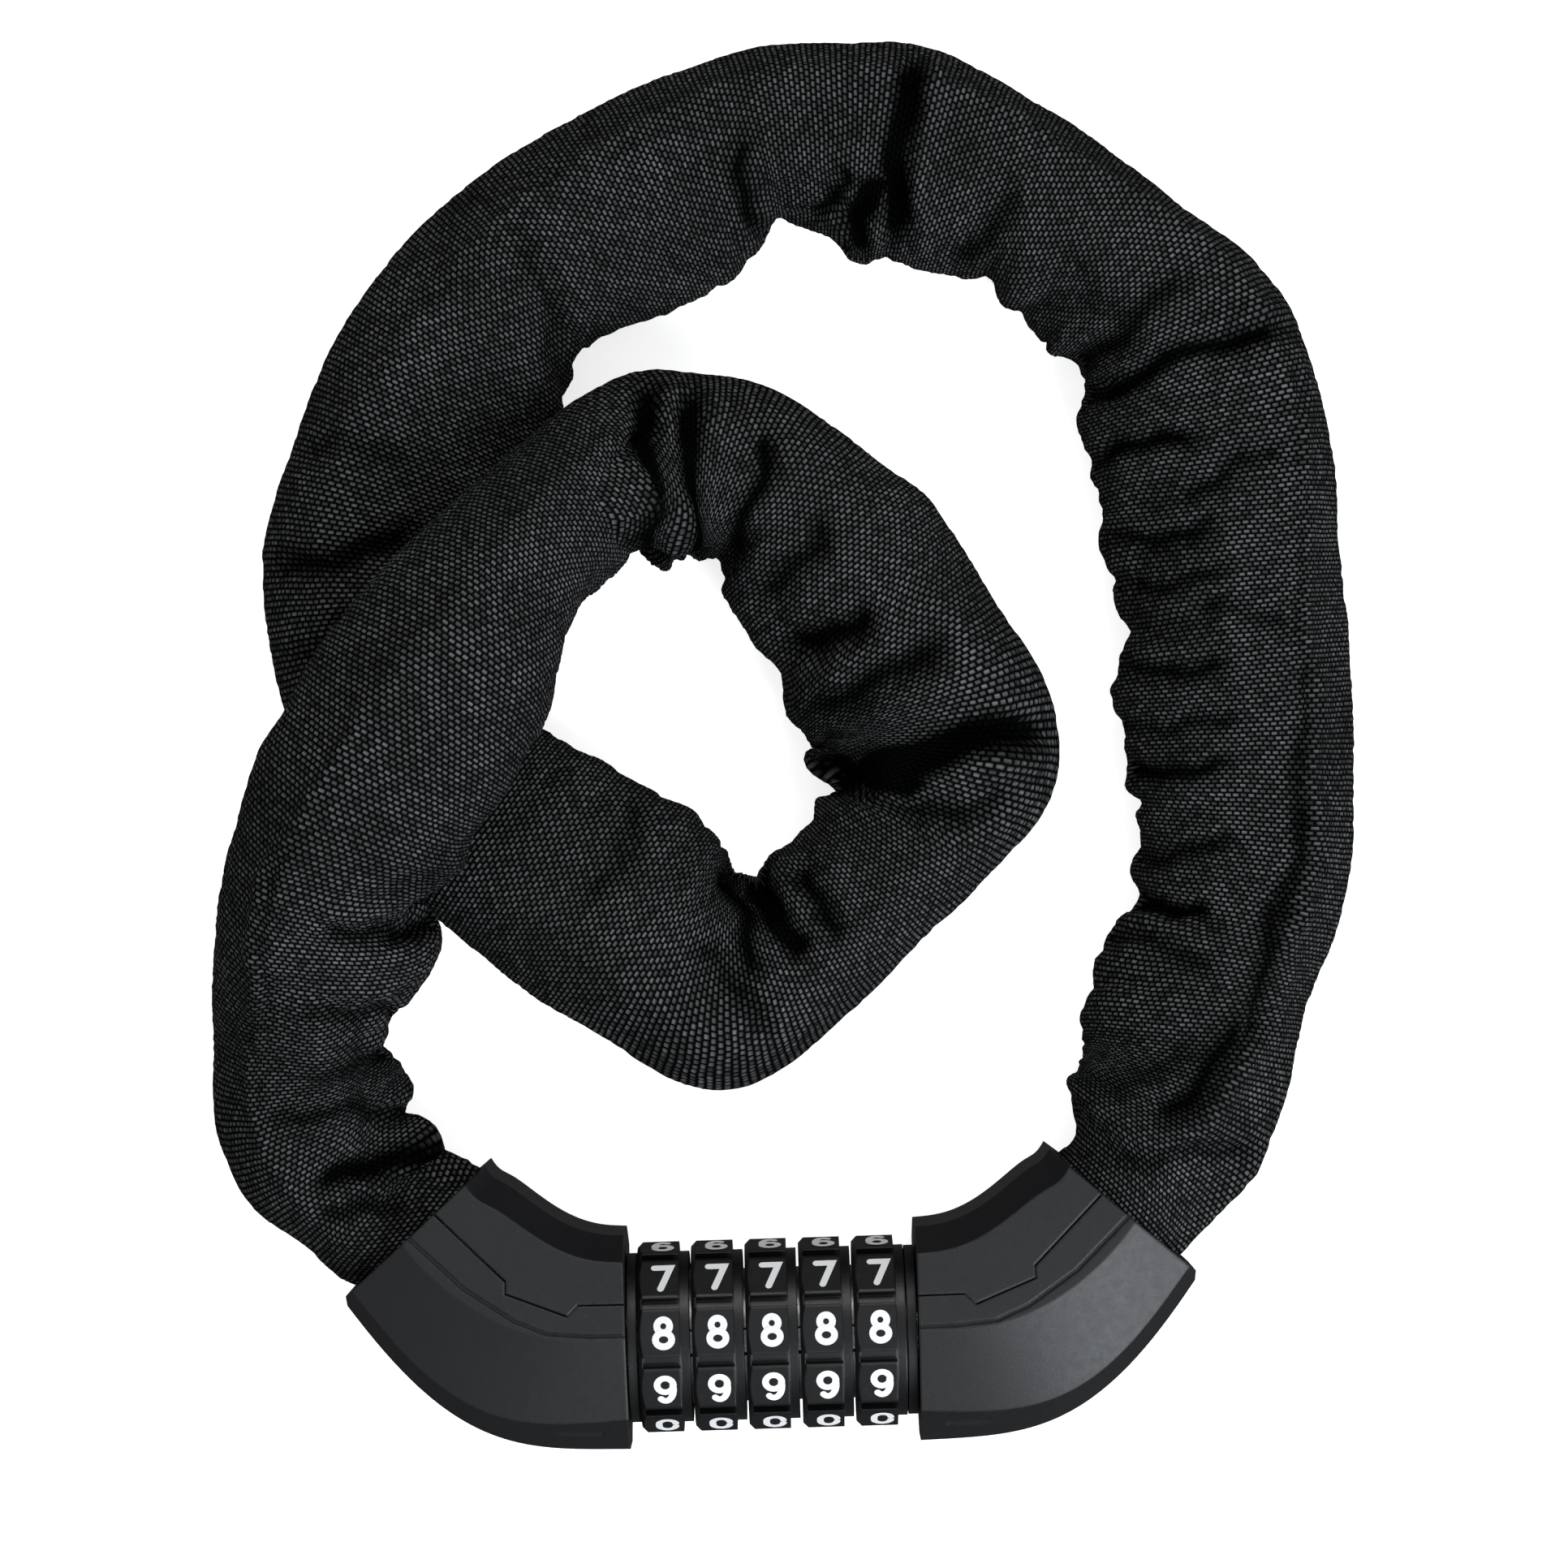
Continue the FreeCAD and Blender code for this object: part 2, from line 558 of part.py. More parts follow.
# ---------------------------------------------------------------- the whole lock
def build():
    os.makedirs("parts", exist_ok=True)
    for number in range(CODE_DIALS):
        save(dial(number), "dial_%d" % (number + 1))
        save(code_ring(number), "code_ring_%d" % (number + 1))
    save(spacer_washers(), "dial_spacers")
    save(spindle_tube(), "spindle_tube")
    save(collar(-19.0, -17.75), "start_collar")
    save(collar(17.75, 19.0), "end_collar")
    save(click_spring(), "click_spring")

    inner, outer = shells()
    save(inner, "bolt_inner_shell")
    save(outer, "bolt_outer_shell")
    save(mirrored(inner), "lock_inner_shell")
    save(mirrored(outer), "lock_outer_shell")
    save(core_block(ROD_RADIUS + 0.05, 26.0), "bolt_core_block")
    save(mirrored(core_block(TUBE_RADIUS + 0.05, 26.0)), "lock_core_block")
    save(chain_pin(), "bolt_chain_pin")
    save(mirrored(chain_pin()), "lock_chain_pin")
    save(bolt_rod(), "bolt_rod")
    save(cross_pin(26.0), "bolt_rod_pin")
    save(cross_pin(-26.0), "spindle_pin")

    edges = route_edges()
    right_pin = mouth_pin_middle()
    left_pin = V(-right_pin.x, right_pin.y, right_pin.z)
    track = Part.Wire(edges).discretize(Distance=0.02)
    track = straight_lead(left_pin, track[0], 200) + track + straight_lead(right_pin, track[-1], 200)[::-1]
    joints, inner_length = chain_joints(track)
    links = chain(joints, inner_length)
    pivot_place = LINKS - STRAND_LINKS
    pivot = joints[pivot_place]
    print("route %.1f long, pivot at %.3f %.3f" % (sum(edge.Length for edge in edges), pivot.x, pivot.y))
    print("head's pin at %.3f %.3f" % (right_pin.x, right_pin.y))
    save(links[0], "lock_end_link")
    save(Part.Compound(links[1:pivot_place]), "chain_links")
    save(Part.Compound(links[pivot_place:-1]), "strand_links")
    save(links[-1], "bolt_end_link")
    main, strand = split_sleeve(whole_sleeve(edges), pivot)
    save(main, "sleeve")
    save(strand, "sleeve_strand")


build()
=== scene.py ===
import math

import bpy
import numpy as np
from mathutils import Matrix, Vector
from mathutils.bvhtree import BVHTree
from mathutils.kdtree import KDTree


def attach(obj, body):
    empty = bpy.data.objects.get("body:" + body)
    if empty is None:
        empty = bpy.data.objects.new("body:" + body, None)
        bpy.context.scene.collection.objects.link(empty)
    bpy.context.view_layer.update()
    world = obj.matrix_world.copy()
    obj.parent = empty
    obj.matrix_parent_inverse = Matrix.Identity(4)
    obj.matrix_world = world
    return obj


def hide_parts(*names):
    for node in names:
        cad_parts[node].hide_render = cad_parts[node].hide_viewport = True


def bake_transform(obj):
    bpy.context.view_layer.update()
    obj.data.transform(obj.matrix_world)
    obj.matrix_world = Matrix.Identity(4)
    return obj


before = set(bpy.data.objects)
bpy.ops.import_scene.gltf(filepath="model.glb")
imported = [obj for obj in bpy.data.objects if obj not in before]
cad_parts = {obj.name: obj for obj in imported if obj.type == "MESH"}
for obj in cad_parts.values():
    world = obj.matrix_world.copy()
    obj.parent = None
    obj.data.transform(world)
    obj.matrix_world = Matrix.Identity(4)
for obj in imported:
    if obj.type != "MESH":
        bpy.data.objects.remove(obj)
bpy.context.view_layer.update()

# The looks of a five-dial chain lock: its fabric sleeve, its digits and every surface's material.
# The sleeve, the digits and the camera are laid out in millimetres, and MM makes them metres.
# Lights, the floor and the sizes in materials are in metres. Listed points have their Y from
# the dial axis, and get the shared frame's Y by adding AXIS_Y.

MM = 0.001
AXIS_Y = -4.85             # the dial axis in the shared frame
AXIS_Z = 13.5
REST_Z = 10.6              # the route's height where the sleeve lies on the floor

# ---------------------------------------------------------------- camera and light
CAMERA_X = 3.75
CAMERA_Y = 73.1
CAMERA_Z = 653.0
CAMERA_ROLL = -1.75        # degrees
SENSOR_WIDTH = 36.0
FOCAL_LENGTH = 110.2
CLIP_START = 0.05          # metres
CLIP_END = 10.0

camera_data = bpy.data.cameras.new("camera")
camera_data.sensor_width = SENSOR_WIDTH
camera_data.lens = FOCAL_LENGTH
camera_data.clip_start = CLIP_START
camera_data.clip_end = CLIP_END
camera = bpy.data.objects.new("camera", camera_data)
bpy.context.scene.collection.objects.link(camera)
camera.location = (CAMERA_X * MM, (CAMERA_Y + AXIS_Y) * MM, CAMERA_Z * MM)
camera.rotation_euler = (0, 0, math.radians(CAMERA_ROLL))
bpy.context.scene.camera = camera


def area_light(name, place, target, size, power, colour):
    """A soft rectangular lamp at place, aimed at target."""
    data = bpy.data.lights.new(name, "AREA")
    data.shape = "RECTANGLE"
    data.size, data.size_y = size
    data.energy = power
    data.color = colour
    lamp = bpy.data.objects.new(name, data)
    bpy.context.scene.collection.objects.link(lamp)
    lamp.location = place
    aim = Vector(target) - Vector(place)
    lamp.rotation_euler = aim.to_track_quat("-Z", "Y").to_euler()


area_light("key", (0.62, -0.55, 0.42), (0.02, 0.03, 0), (0.6, 0.35), 5.5, (0.93, 0.965, 1.0))
area_light("sheen", (0.38, -0.44, 0.74), (0.05, 0, 0.02), (0.3, 0.3), 3.2, (0.86, 0.93, 1.0))
area_light("back", (0.1, 0.75, 0.62), (0, 0.08, 0), (0.7, 0.35), 2.4, (1.0, 1.0, 1.0))


def studio_world():
    """Even light that fades from bright overhead to nearly dark at the horizon and below."""
    made = bpy.data.worlds.new("studio")
    made.use_nodes = True
    tree = made.node_tree
    background = tree.nodes["Background"]
    background.inputs["Color"].default_value = (0.96, 0.98, 1.0, 1.0)
    where = tree.nodes.new("ShaderNodeTexCoord")
    split = tree.nodes.new("ShaderNodeSeparateXYZ")
    ramp = tree.nodes.new("ShaderNodeMapRange")
    limits = (("From Min", -0.05), ("From Max", 0.9), ("To Min", 0.08), ("To Max", 0.62))
    for socket, value in limits:
        ramp.inputs[socket].default_value = value
    tree.links.new(where.outputs["Generated"], split.inputs["Vector"])
    tree.links.new(split.outputs["Z"], ramp.inputs["Value"])
    tree.links.new(ramp.outputs["Result"], background.inputs["Strength"])
    return made


bpy.context.scene.world = studio_world()
bpy.context.scene.view_settings.view_transform = "Standard"


# ---------------------------------------------------------------- material helpers
# A noise's scale is in features per metre, and a bump's distance or an edge's radius in metres.
class Nodes:
    """A short way to write a material's nodes."""

    def __init__(self, name):
        self.material = bpy.data.materials.new(name)
        self.material.use_nodes = True
        self.tree = self.material.node_tree
        self.shader = self.tree.nodes["Principled BSDF"]

    def add(self, kind, **settings):
        """A new node with its properties set."""
        node = self.tree.nodes.new(kind)
        for key, value in settings.items():
            setattr(node, key, value)
        return node

    def link(self, source, target):
        self.tree.links.new(source, target)

    def feed(self, value, socket):
        """Gives a socket a constant or another node's output."""
        if isinstance(value, (int, float, tuple)):
            socket.default_value = value
        else:
            self.link(value, socket)

    def math(self, operation, a, b=None):
        node = self.add("ShaderNodeMath", operation=operation)
        self.feed(a, node.inputs[0])
        if b is not None:
            self.feed(b, node.inputs[1])
        return node.outputs[0]

    def mix(self, share, a, b):
        """Colour a where share is 0 and colour b where it is 1."""
        node = self.add("ShaderNodeMix", data_type="RGBA")
        colour_a, colour_b, result = 6, 7, 2
        self.feed(share, node.inputs[0])
        self.feed(a, node.inputs[colour_a])
        self.feed(b, node.inputs[colour_b])
        return node.outputs[result]

    def place(self):
        """The point on the surface, in the object's own metres."""
        return self.add("ShaderNodeTexCoord").outputs["Object"]

    def noise(self, where, scale, detail=3.0, rough=0.5):
        node = self.add("ShaderNodeTexNoise")
        self.link(where, node.inputs["Vector"])
        node.inputs["Scale"].default_value = scale
        node.inputs["Detail"].default_value = detail
        node.inputs["Roughness"].default_value = rough
        return node.outputs["Fac"]

    def spread(self, value, low, high, to_low=0.0, to_high=1.0):
        """Value stretched from low..high to to_low..to_high, and held there outside it."""
        node = self.add("ShaderNodeMapRange")
        self.link(value, node.inputs["Value"])
        node.inputs["From Min"].default_value = low
        node.inputs["From Max"].default_value = high
        node.inputs["To Min"].default_value = to_low
        node.inputs["To Max"].default_value = to_high
        return node.outputs["Result"]

    def bump(self, height, strength, distance, under=None):
        node = self.add("ShaderNodeBump")
        node.inputs["Strength"].default_value = strength
        node.inputs["Distance"].default_value = distance
        self.link(height, node.inputs["Height"])
        if under is not None:
            self.link(under, node.inputs["Normal"])
        return node.outputs["Normal"]

    def rounded(self, radius):
        """The normal of the surface with its edges rounded to that radius."""
        node = self.add("ShaderNodeBevel", samples=6)
        node.inputs["Radius"].default_value = radius
        return node.outputs["Normal"]

    def worn_edges(self, radius):
        """1 near sharp edges: where a rounded normal leaves the true one."""
        bevel = self.rounded(radius)
        geometry = self.add("ShaderNodeNewGeometry")
        dot = self.add("ShaderNodeVectorMath", operation="DOT_PRODUCT")
        self.link(bevel, dot.inputs[0])
        self.link(geometry.outputs["Normal"], dot.inputs[1])
        return self.spread(dot.outputs["Value"], 0.995, 0.9)


def grey(value, blue=1.0):
    """A grey, bluish where blue is over 1."""
    return (value, value, value * blue, 1.0)


def scaled(colour, share):
    """A colour made darker or lighter."""
    return tuple(part * share for part in colour[:3]) + (1.0,)


def moulded_plastic(name, colour, rubbed, rough, radius):
    """Satin black plastic: fine spark texture, faint clouds, rounded and slightly rubbed edges."""
    n = Nodes(name)
    where = n.place()
    cloud = n.noise(where, 60.0, 4.0, 0.6)
    fine = n.noise(where, 4200.0, 2.0, 0.5)
    scuff = n.noise(where, 900.0, 5.0, 0.65)
    specks = n.spread(n.noise(where, 1500.0, 1.0, 0.4), 0.72, 0.82)
    edge = n.math("MULTIPLY", n.worn_edges(radius * 1.3), n.spread(scuff, 0.35, 0.65))
    tone = n.mix(n.spread(cloud, 0.3, 0.7), colour, scaled(colour, 1.25))
    tone = n.mix(n.math("MULTIPLY", specks, 0.35), tone, rubbed)
    tone = n.mix(n.math("MULTIPLY", edge, 0.5), tone, rubbed)
    n.link(tone, n.shader.inputs["Base Color"])
    n.link(n.spread(scuff, 0.2, 0.8, rough - 0.06, rough + 0.08), n.shader.inputs["Roughness"])
    n.shader.inputs["Specular IOR Level"].default_value = 0.42
    n.link(n.bump(fine, 0.35, 0.00004, n.rounded(radius)), n.shader.inputs["Normal"])
    return n.material


def metal(name, colour, rough, stretch, radius, grain=0.4):
    """Bare metal with fine marks, drawn out along the axes that stretch scales least."""
    n = Nodes(name)
    mapping = n.add("ShaderNodeMapping")
    n.link(n.place(), mapping.inputs["Vector"])
    mapping.inputs["Scale"].default_value = stretch
    marks = n.noise(mapping.outputs["Vector"], 900.0, 4.0, 0.6)
    stain = n.noise(n.place(), 120.0, 4.0, 0.6)
    tone = n.mix(n.spread(stain, 0.35, 0.7), colour, scaled(colour, 0.7))
    n.link(tone, n.shader.inputs["Base Color"])
    n.shader.inputs["Metallic"].default_value = 1.0
    n.link(n.spread(marks, 0.2, 0.8, rough - 0.08, rough + 0.12), n.shader.inputs["Roughness"])
    n.link(n.bump(marks, grain, 0.00003, n.rounded(radius)), n.shader.inputs["Normal"])
    return n.material


def painted_white(name):
    """The digits' pad-printed ink: dense white, a little rubbed at places."""
    n = Nodes(name)
    where = n.place()
    wear = n.spread(n.noise(where, 1800.0, 4.0, 0.6), 0.62, 0.75)
    tone = n.mix(n.math("MULTIPLY", wear, 0.5), grey(0.94), grey(0.6))
    n.link(tone, n.shader.inputs["Base Color"])
    n.shader.inputs["Roughness"].default_value = 0.42
    n.link(n.bump(n.noise(where, 2600.0), 0.25, 0.00003), n.shader.inputs["Normal"])
    return n.material


def woven(name):
    """Coarse black weave of staggered crosswise floats, counted by the sleeve's own map; its colour
    has painted glints on the floats and painted shade in the folds and between the floats.
    """
    n = Nodes(name)
    uv = n.add("ShaderNodeUVMap", uv_map=THREAD_MAP)
    split = n.add("ShaderNodeSeparateXYZ")
    n.link(uv.outputs["UV"], split.inputs["Vector"])
    wobble = n.noise(n.place(), 160.0, 2.0)
    along = n.math("ADD", split.outputs["Y"], n.math("MULTIPLY", wobble, 0.7))
    thread = n.math("FLOOR", along)
    # every other thread is shifted by half a float
    shift = n.math("MULTIPLY", n.math("PINGPONG", thread, 1.0), 0.5)
    around = n.math("ADD", split.outputs["X"], shift)
    # where the point is in its own float, from -0.5 to 0.5 each way
    across_float = n.math("SUBTRACT", n.math("FRACT", around), 0.5)
    across_thread = n.math("SUBTRACT", n.math("FRACT", along), 0.5)

    def bar(offset, scale, power):
        """1 on the middle line of a bar, falling to 0 at its sides."""
        off = n.math("ABSOLUTE", n.math("MULTIPLY", offset, scale))
        return n.math("MAXIMUM", n.math("SUBTRACT", 1.0, n.math("POWER", off, power)), 0.0)

    # a float is a rounded bar with blunt ends; the lengthwise threads between the floats lie lower
    height = n.math("MULTIPLY", bar(across_float, 2.3, 4.0), bar(across_thread, 2.25, 2.0))
    # filaments inside a thread
    twist = n.math("ADD", n.math("MULTIPLY", across_thread, 20.0), n.math("MULTIPLY", around, 4.0))
    relief = n.math("ADD", height, n.math("MULTIPLY", n.math("SINE", twist), 0.05))
    # painted glints: each float's top is painted light grey, more on some floats than on others,
    # and painted shade keeps the folds dark
    cell = n.add("ShaderNodeCombineXYZ")
    n.link(n.math("FLOOR", around), cell.inputs["X"])
    n.link(thread, cell.inputs["Y"])
    dice = n.add("ShaderNodeTexWhiteNoise", noise_dimensions="2D")
    n.link(cell.outputs["Vector"], dice.inputs["Vector"])
    chance = n.spread(dice.outputs["Value"], 0.0, 1.0, 0.15, 1.0)
    patch = n.spread(n.noise(n.place(), 75.0, 3.0, 0.55), 0.3, 0.7, 0.4, 1.0)
    painted_fold_shade = n.add("ShaderNodeAttribute", attribute_name=FOLD_SHADE)
    open_cloth = n.math("SUBTRACT", 1.0, painted_fold_shade.outputs["Fac"])
    painted_glint = n.math("MULTIPLY", n.spread(height, 0.3, 0.9), chance)
    painted_glint = n.math("MULTIPLY", n.math("MULTIPLY", painted_glint, patch), open_cloth)
    dark = n.mix(n.noise(n.place(), 45.0, 2.0), grey(0.0022), (0.0036, 0.0046, 0.0045, 1.0))
    # painted shade: the weave is painted darker where it is low, between the floats
    threads = n.mix(n.math("MULTIPLY", height, 0.8), grey(0.0008), dark)
    # the painted glints' light grey
    tone = n.mix(painted_glint, threads, (0.148, 0.154, 0.158, 1.0))
    # the folds' painted shade also turns the specular down there
    shine = n.math("MULTIPLY", open_cloth, n.spread(height, 0.1, 0.8, 0.04, 0.34))
    n.link(tone, n.shader.inputs["Base Color"])
    n.link(n.spread(height, 0.0, 1.0, 0.75, 0.5), n.shader.inputs["Roughness"])
    n.link(shine, n.shader.inputs["Specular IOR Level"])
    n.link(n.bump(relief, 0.9, 0.00025), n.shader.inputs["Normal"])
    return n.material


FINE_EDGE = 0.0002
SOFT_EDGE = 0.0003
CAST_EDGE = 0.0004
SHELL_EDGE = 0.0005
NO_STRETCH = (1.0, 1.0, 1.0)
THREAD_MAP = "threads"     # the sleeve's UV map
FOLD_SHADE = "painted_fold_shade"        # the sleeve's attribute: painted shade, 1 in the depth of a fold

HOUSING = moulded_plastic("housing_plastic", grey(0.008, 1.15), grey(0.03), 0.42, SHELL_EDGE)
DIAL = moulded_plastic("dial_plastic", grey(0.005, 1.1), grey(0.02), 0.34, SOFT_EDGE)
COLLAR = moulded_plastic("collar_plastic", grey(0.005), grey(0.03), 0.4, SOFT_EDGE)
BLOCK = metal("cast_block", (0.42, 0.42, 0.43, 1.0), 0.5, NO_STRETCH, CAST_EDGE, 0.7)
TURNED = metal("turned_steel", (0.5, 0.5, 0.5, 1.0), 0.3, (12.0, 1.0, 1.0), FINE_EDGE)
GROUND = metal("ground_steel", (0.58, 0.58, 0.6, 1.0), 0.25, (1.0, 8.0, 8.0), FINE_EDGE)
PLATED = metal("plated_chain", (0.5, 0.5, 0.52, 1.0), 0.32, NO_STRETCH, FINE_EDGE)
INK = painted_white("digit_ink")
WEAVE = woven("woven_sleeve")

DIALS = 5
CHAIN_NODES = ["lock_end_link", "chain_links", "strand_links", "bolt_end_link"]
# The record's material slots, with the material and the CAD nodes of each.
FINISHES = {
    "housing": (HOUSING, ["lock_inner_shell", "lock_outer_shell",
                          "bolt_inner_shell", "bolt_outer_shell"]),
    "dial": (DIAL, ["dial_%d" % k for k in range(1, DIALS + 1)]),
    "trim": (COLLAR, ["start_collar", "end_collar"]),
    "block": (BLOCK, ["lock_core_block", "bolt_core_block"]),
    "ring": (TURNED, ["code_ring_%d" % k for k in range(1, DIALS + 1)] + ["dial_spacers"]),
    "steel": (GROUND, ["lock_chain_pin", "bolt_chain_pin", "spindle_pin", "bolt_rod_pin",
                       "bolt_rod", "spindle_tube", "click_spring"]),
    "chain": (PLATED, CHAIN_NODES),
}
for slot_name, (material, node_names) in FINISHES.items():
    for node_name in node_names:
        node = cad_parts[node_name]
        node.data.materials.clear()
        node.data.materials.append(material)

# ---------------------------------------------------------------- the sleeve's route
# The same points as the chain's route in the part's source. route_line() makes them metres.
ROUTE = [
    (-46.7, 15.7, 13.5), (-60.0, 26.8, 13.2), (-62.3, 43.6, 16.0), (-59.4, 60.4, 26.0),
    (-52.6, 73.6, 32.2), (-41.2, 90.4, 32.2), (-30.2, 105.6, 24.0), (-16.0, 118.2, 11.6),
    (0.6, 116.8, REST_Z), (12.5, 100.6, REST_Z), (32.6, 76.6, REST_Z), (-2.6, 41.8, REST_Z),
    (-25.6, 62.6, REST_Z), (-43.6, 75.2, REST_Z), (-50.8, 92.6, REST_Z), (-49.6, 111.0, REST_Z),
    (-41.0, 129.0, REST_Z), (-25.6, 145.6, REST_Z), (-5.0, 156.6, REST_Z), (17.6, 160.6, REST_Z),
    (39.0, 152.0, REST_Z), (57.6, 138.4, REST_Z), (62.8, 118.0, REST_Z), (63.3, 98.0, REST_Z),
    (65.6, 78.0, REST_Z), (64.0, 58.0, REST_Z), (59.6, 43.0, 11.0), (60.0, 26.6, 12.6),
    (46.7, 15.7, 13.5),
]

# The sleeve's two edges as they are seen from above, in the order of the route.
LEFT_EDGE = [
    (-56.5, 7.4), (-61, 13.6), (-68.4, 18.7), (-72.6, 26), (-73.1, 40), (-72.8, 50), (-71.9, 60),
    (-69.2, 70), (-66, 80), (-62.7, 84.5), (-58.6, 92.4), (-50, 102.5), (-40.4, 111),
    (-30.6, 118.8), (-20.8, 126), (-14, 129), (-6.5, 128), (3.4, 126), (10.3, 121), (18.6, 114.9),
    (23.4, 111.3), (29.4, 101.6), (33.9, 94.1), (39.3, 86), (40.5, 76), (39.4, 70), (31.6, 61.8),
    (20.3, 51), (8.8, 40.4), (1, 34.4), (-5, 32), (-10.3, 33.2), (-19.4, 39.4), (-29.3, 44.8),
    (-40.3, 54), (-47, 60), (-54, 68), (-60, 76), (-62.7, 84.5), (-64, 90.6), (-64.7, 99),
    (-64.7, 106), (-63, 113), (-60.2, 121), (-54.8, 133.5), (-47, 144.4), (-33.1, 156.5),
    (-19.2, 163.9), (-5.4, 169), (3, 171.4), (15, 171.6), (26, 171), (38.5, 163.2), (48.9, 156.2),
    (59.1, 147.6), (68.2, 141), (73.5, 133.5), (77.3, 120.3), (78.5, 103), (79.4, 91),
    (79.7, 76.5), (79.2, 63), (77.2, 52.5), (72.8, 42.3), (69.6, 30.5), (65.6, 21.3), (61, 16.8),
    (56.3, 13),
]
RIGHT_EDGE = [
    (-45, 20.6), (-48.2, 23.4), (-46.8, 26.6), (-49.5, 31.2), (-47.8, 34.2), (-51, 40),
    (-47.5, 44.5), (-43.6, 50), (-45.6, 54.2), (-48.4, 57.4), (-45, 59.4), (-40, 62), (-39, 67),
    (-34, 74), (-30.5, 79), (-27.7, 82.3), (-25.2, 90), (-23.5, 97), (-20.6, 100.2), (-16, 107.5),
    (-15, 103.5), (-10.6, 102.4), (-4.2, 102.7), (-3.5, 100.8), (-0.4, 94.5), (5, 87.8),
    (4.5, 82), (7.4, 76.6), (11.5, 73.4), (7.5, 67.5), (1.9, 63), (0.1, 60), (-4.2, 64),
    (-9.3, 70.2), (-16, 74.3), (-25, 79.5), (-31, 85), (-35, 93), (-35, 102), (-30, 112),
    (-25, 123.4), (-22.9, 128.6), (-22.1, 132.9), (-12, 136.5), (-2.6, 139.3), (2.1, 143.8),
    (5.3, 148.8), (12.8, 146.2), (14.7, 142.8), (21.4, 142.6), (29.4, 140.1), (32.7, 140.2),
    (35.9, 136.1), (42.5, 130.6), (46.6, 125.8), (45.6, 121.2), (46.2, 114.5), (48.7, 107.8),
    (47.7, 104.5), (49.8, 98.4), (50.4, 91.7), (49, 87.8), (50.2, 75.8), (51.3, 66.4),
    (50.5, 59.8), (50.6, 55.8), (47.8, 53.2), (46.5, 49.2), (42.8, 41.3), (40.3, 32), (41, 24),
]
# The line along which the chain's corner lifts the cloth, seen and ordered in the same way.
RIDGE = [
    (-57, 17), (-64, 22), (-66.5, 30), (-66.5, 45), (-65, 58), (-58, 72), (-49, 86), (-36, 101),
    (-26, 112), (-16, 119), (-6, 121), (5, 117), (14, 108), (24, 96), (32, 85), (30, 72),
    (20, 61), (6, 48), (-4, 40.5), (-14, 46), (-28, 55), (-42, 66), (-50, 80), (-55, 95),
    (-56, 110), (-50, 125), (-40, 138), (-29, 149.4), (-10, 161), (-0.5, 165.8), (12, 167.5),
    (24, 166.5), (46, 153), (60, 143), (69.9, 133), (72.5, 120), (73.1, 100), (72.5, 85),
    (72, 60), (70, 54), (65, 41.5), (62.5, 34), (57.8, 28), (50, 20),
]

FLOATS_AROUND = 80         # floats of the weave in one turn round the sleeve
THREAD = 0.62              # from one crosswise thread to the next
COLUMNS = 130              # the sleeve mesh's points around it
ROW_PITCH = 0.62           # and the distance between its rings
GIRTH = 84                 # about the way once round the sleeve
POINTS_PER_STRETCH = 48    # how finely the route's spline is read
INSIDE = 3.6               # how far each end reaches into its mouth


def route_line():
    """Points on the route's smooth line, read from its NURBS spline, in millimetres."""
    curve = bpy.data.curves.new("route", "CURVE")
    curve.dimensions = "3D"
    curve.resolution_u = POINTS_PER_STRETCH
    spline = curve.splines.new("NURBS")
    spline.points.add(len(ROUTE) - 1)
    for point, (x, y, z) in zip(spline.points, ROUTE):
        point.co = (x * MM, (y + AXIS_Y) * MM, z * MM, 1.0)
    spline.order_u = 3
    spline.use_endpoint_u = True
    holder = bpy.data.objects.new("route", curve)
    mesh = bpy.data.meshes.new_from_object(holder)
    points = np.array([v.co for v in mesh.vertices], float) / MM
    bpy.data.meshes.remove(mesh)
    bpy.data.curves.remove(curve)
    return points


def smoothed(values, width):
    """Values along the sleeve averaged over a bell of that many rows."""
    reach = int(3 * width) + 1
    bell = np.exp(-0.5 * (np.arange(-reach, reach + 1) / width) ** 2)
    bell /= bell.sum()
    if values.ndim > 1:
        return np.stack([smoothed(values[:, k], width) for k in range(values.shape[1])], axis=1)
    return np.convolve(np.pad(values, reach, mode="edge"), bell, mode="valid")


def eased_step(share):
    """0 to 1 with a gentle start and end."""
    return share * share * (3 - 2 * share)


LINE = route_line()
steps = np.linalg.norm(np.diff(LINE, axis=0), axis=1)
travelled = np.concatenate([[0.0], np.cumsum(steps)])
LENGTH = travelled[-1]
ROWS = int((LENGTH + 2 * INSIDE) / ROW_PITCH) + 1
# For each ring of the sleeve: how far along the route it is, its middle, and its own three axes.
along = -INSIDE + np.arange(ROWS) * ROW_PITCH
centre = np.stack([np.interp(along, travelled, LINE[:, k]) for k in range(3)], axis=1)
start_way = (LINE[1] - LINE[0]) / np.linalg.norm(LINE[1] - LINE[0])
end_way = (LINE[-1] - LINE[-2]) / np.linalg.norm(LINE[-1] - LINE[-2])
centre[along < 0] = LINE[0] + np.outer(along[along < 0], start_way)
centre[along > LENGTH] = LINE[-1] + np.outer(along[along > LENGTH] - LENGTH, end_way)
TURN_ROWS = 9.0            # rings over which a turn of the route is eased
way = smoothed(np.gradient(centre, axis=0), TURN_ROWS)
way /= np.linalg.norm(way, axis=1)[:, None]
side = np.stack([-way[:, 1], way[:, 0], np.zeros(ROWS)], axis=1)
side /= np.linalg.norm(side, axis=1)[:, None]
rise = np.cross(way, side)


def true_place(x, y, z):
    """Where a point seen from the camera is, when it lies at height z and not at AXIS_Z."""
    share = (CAMERA_Z - z) / (CAMERA_Z - AXIS_Z)
    return CAMERA_X + (x - CAMERA_X) * share, CAMERA_Y + AXIS_Y + (y - CAMERA_Y) * share


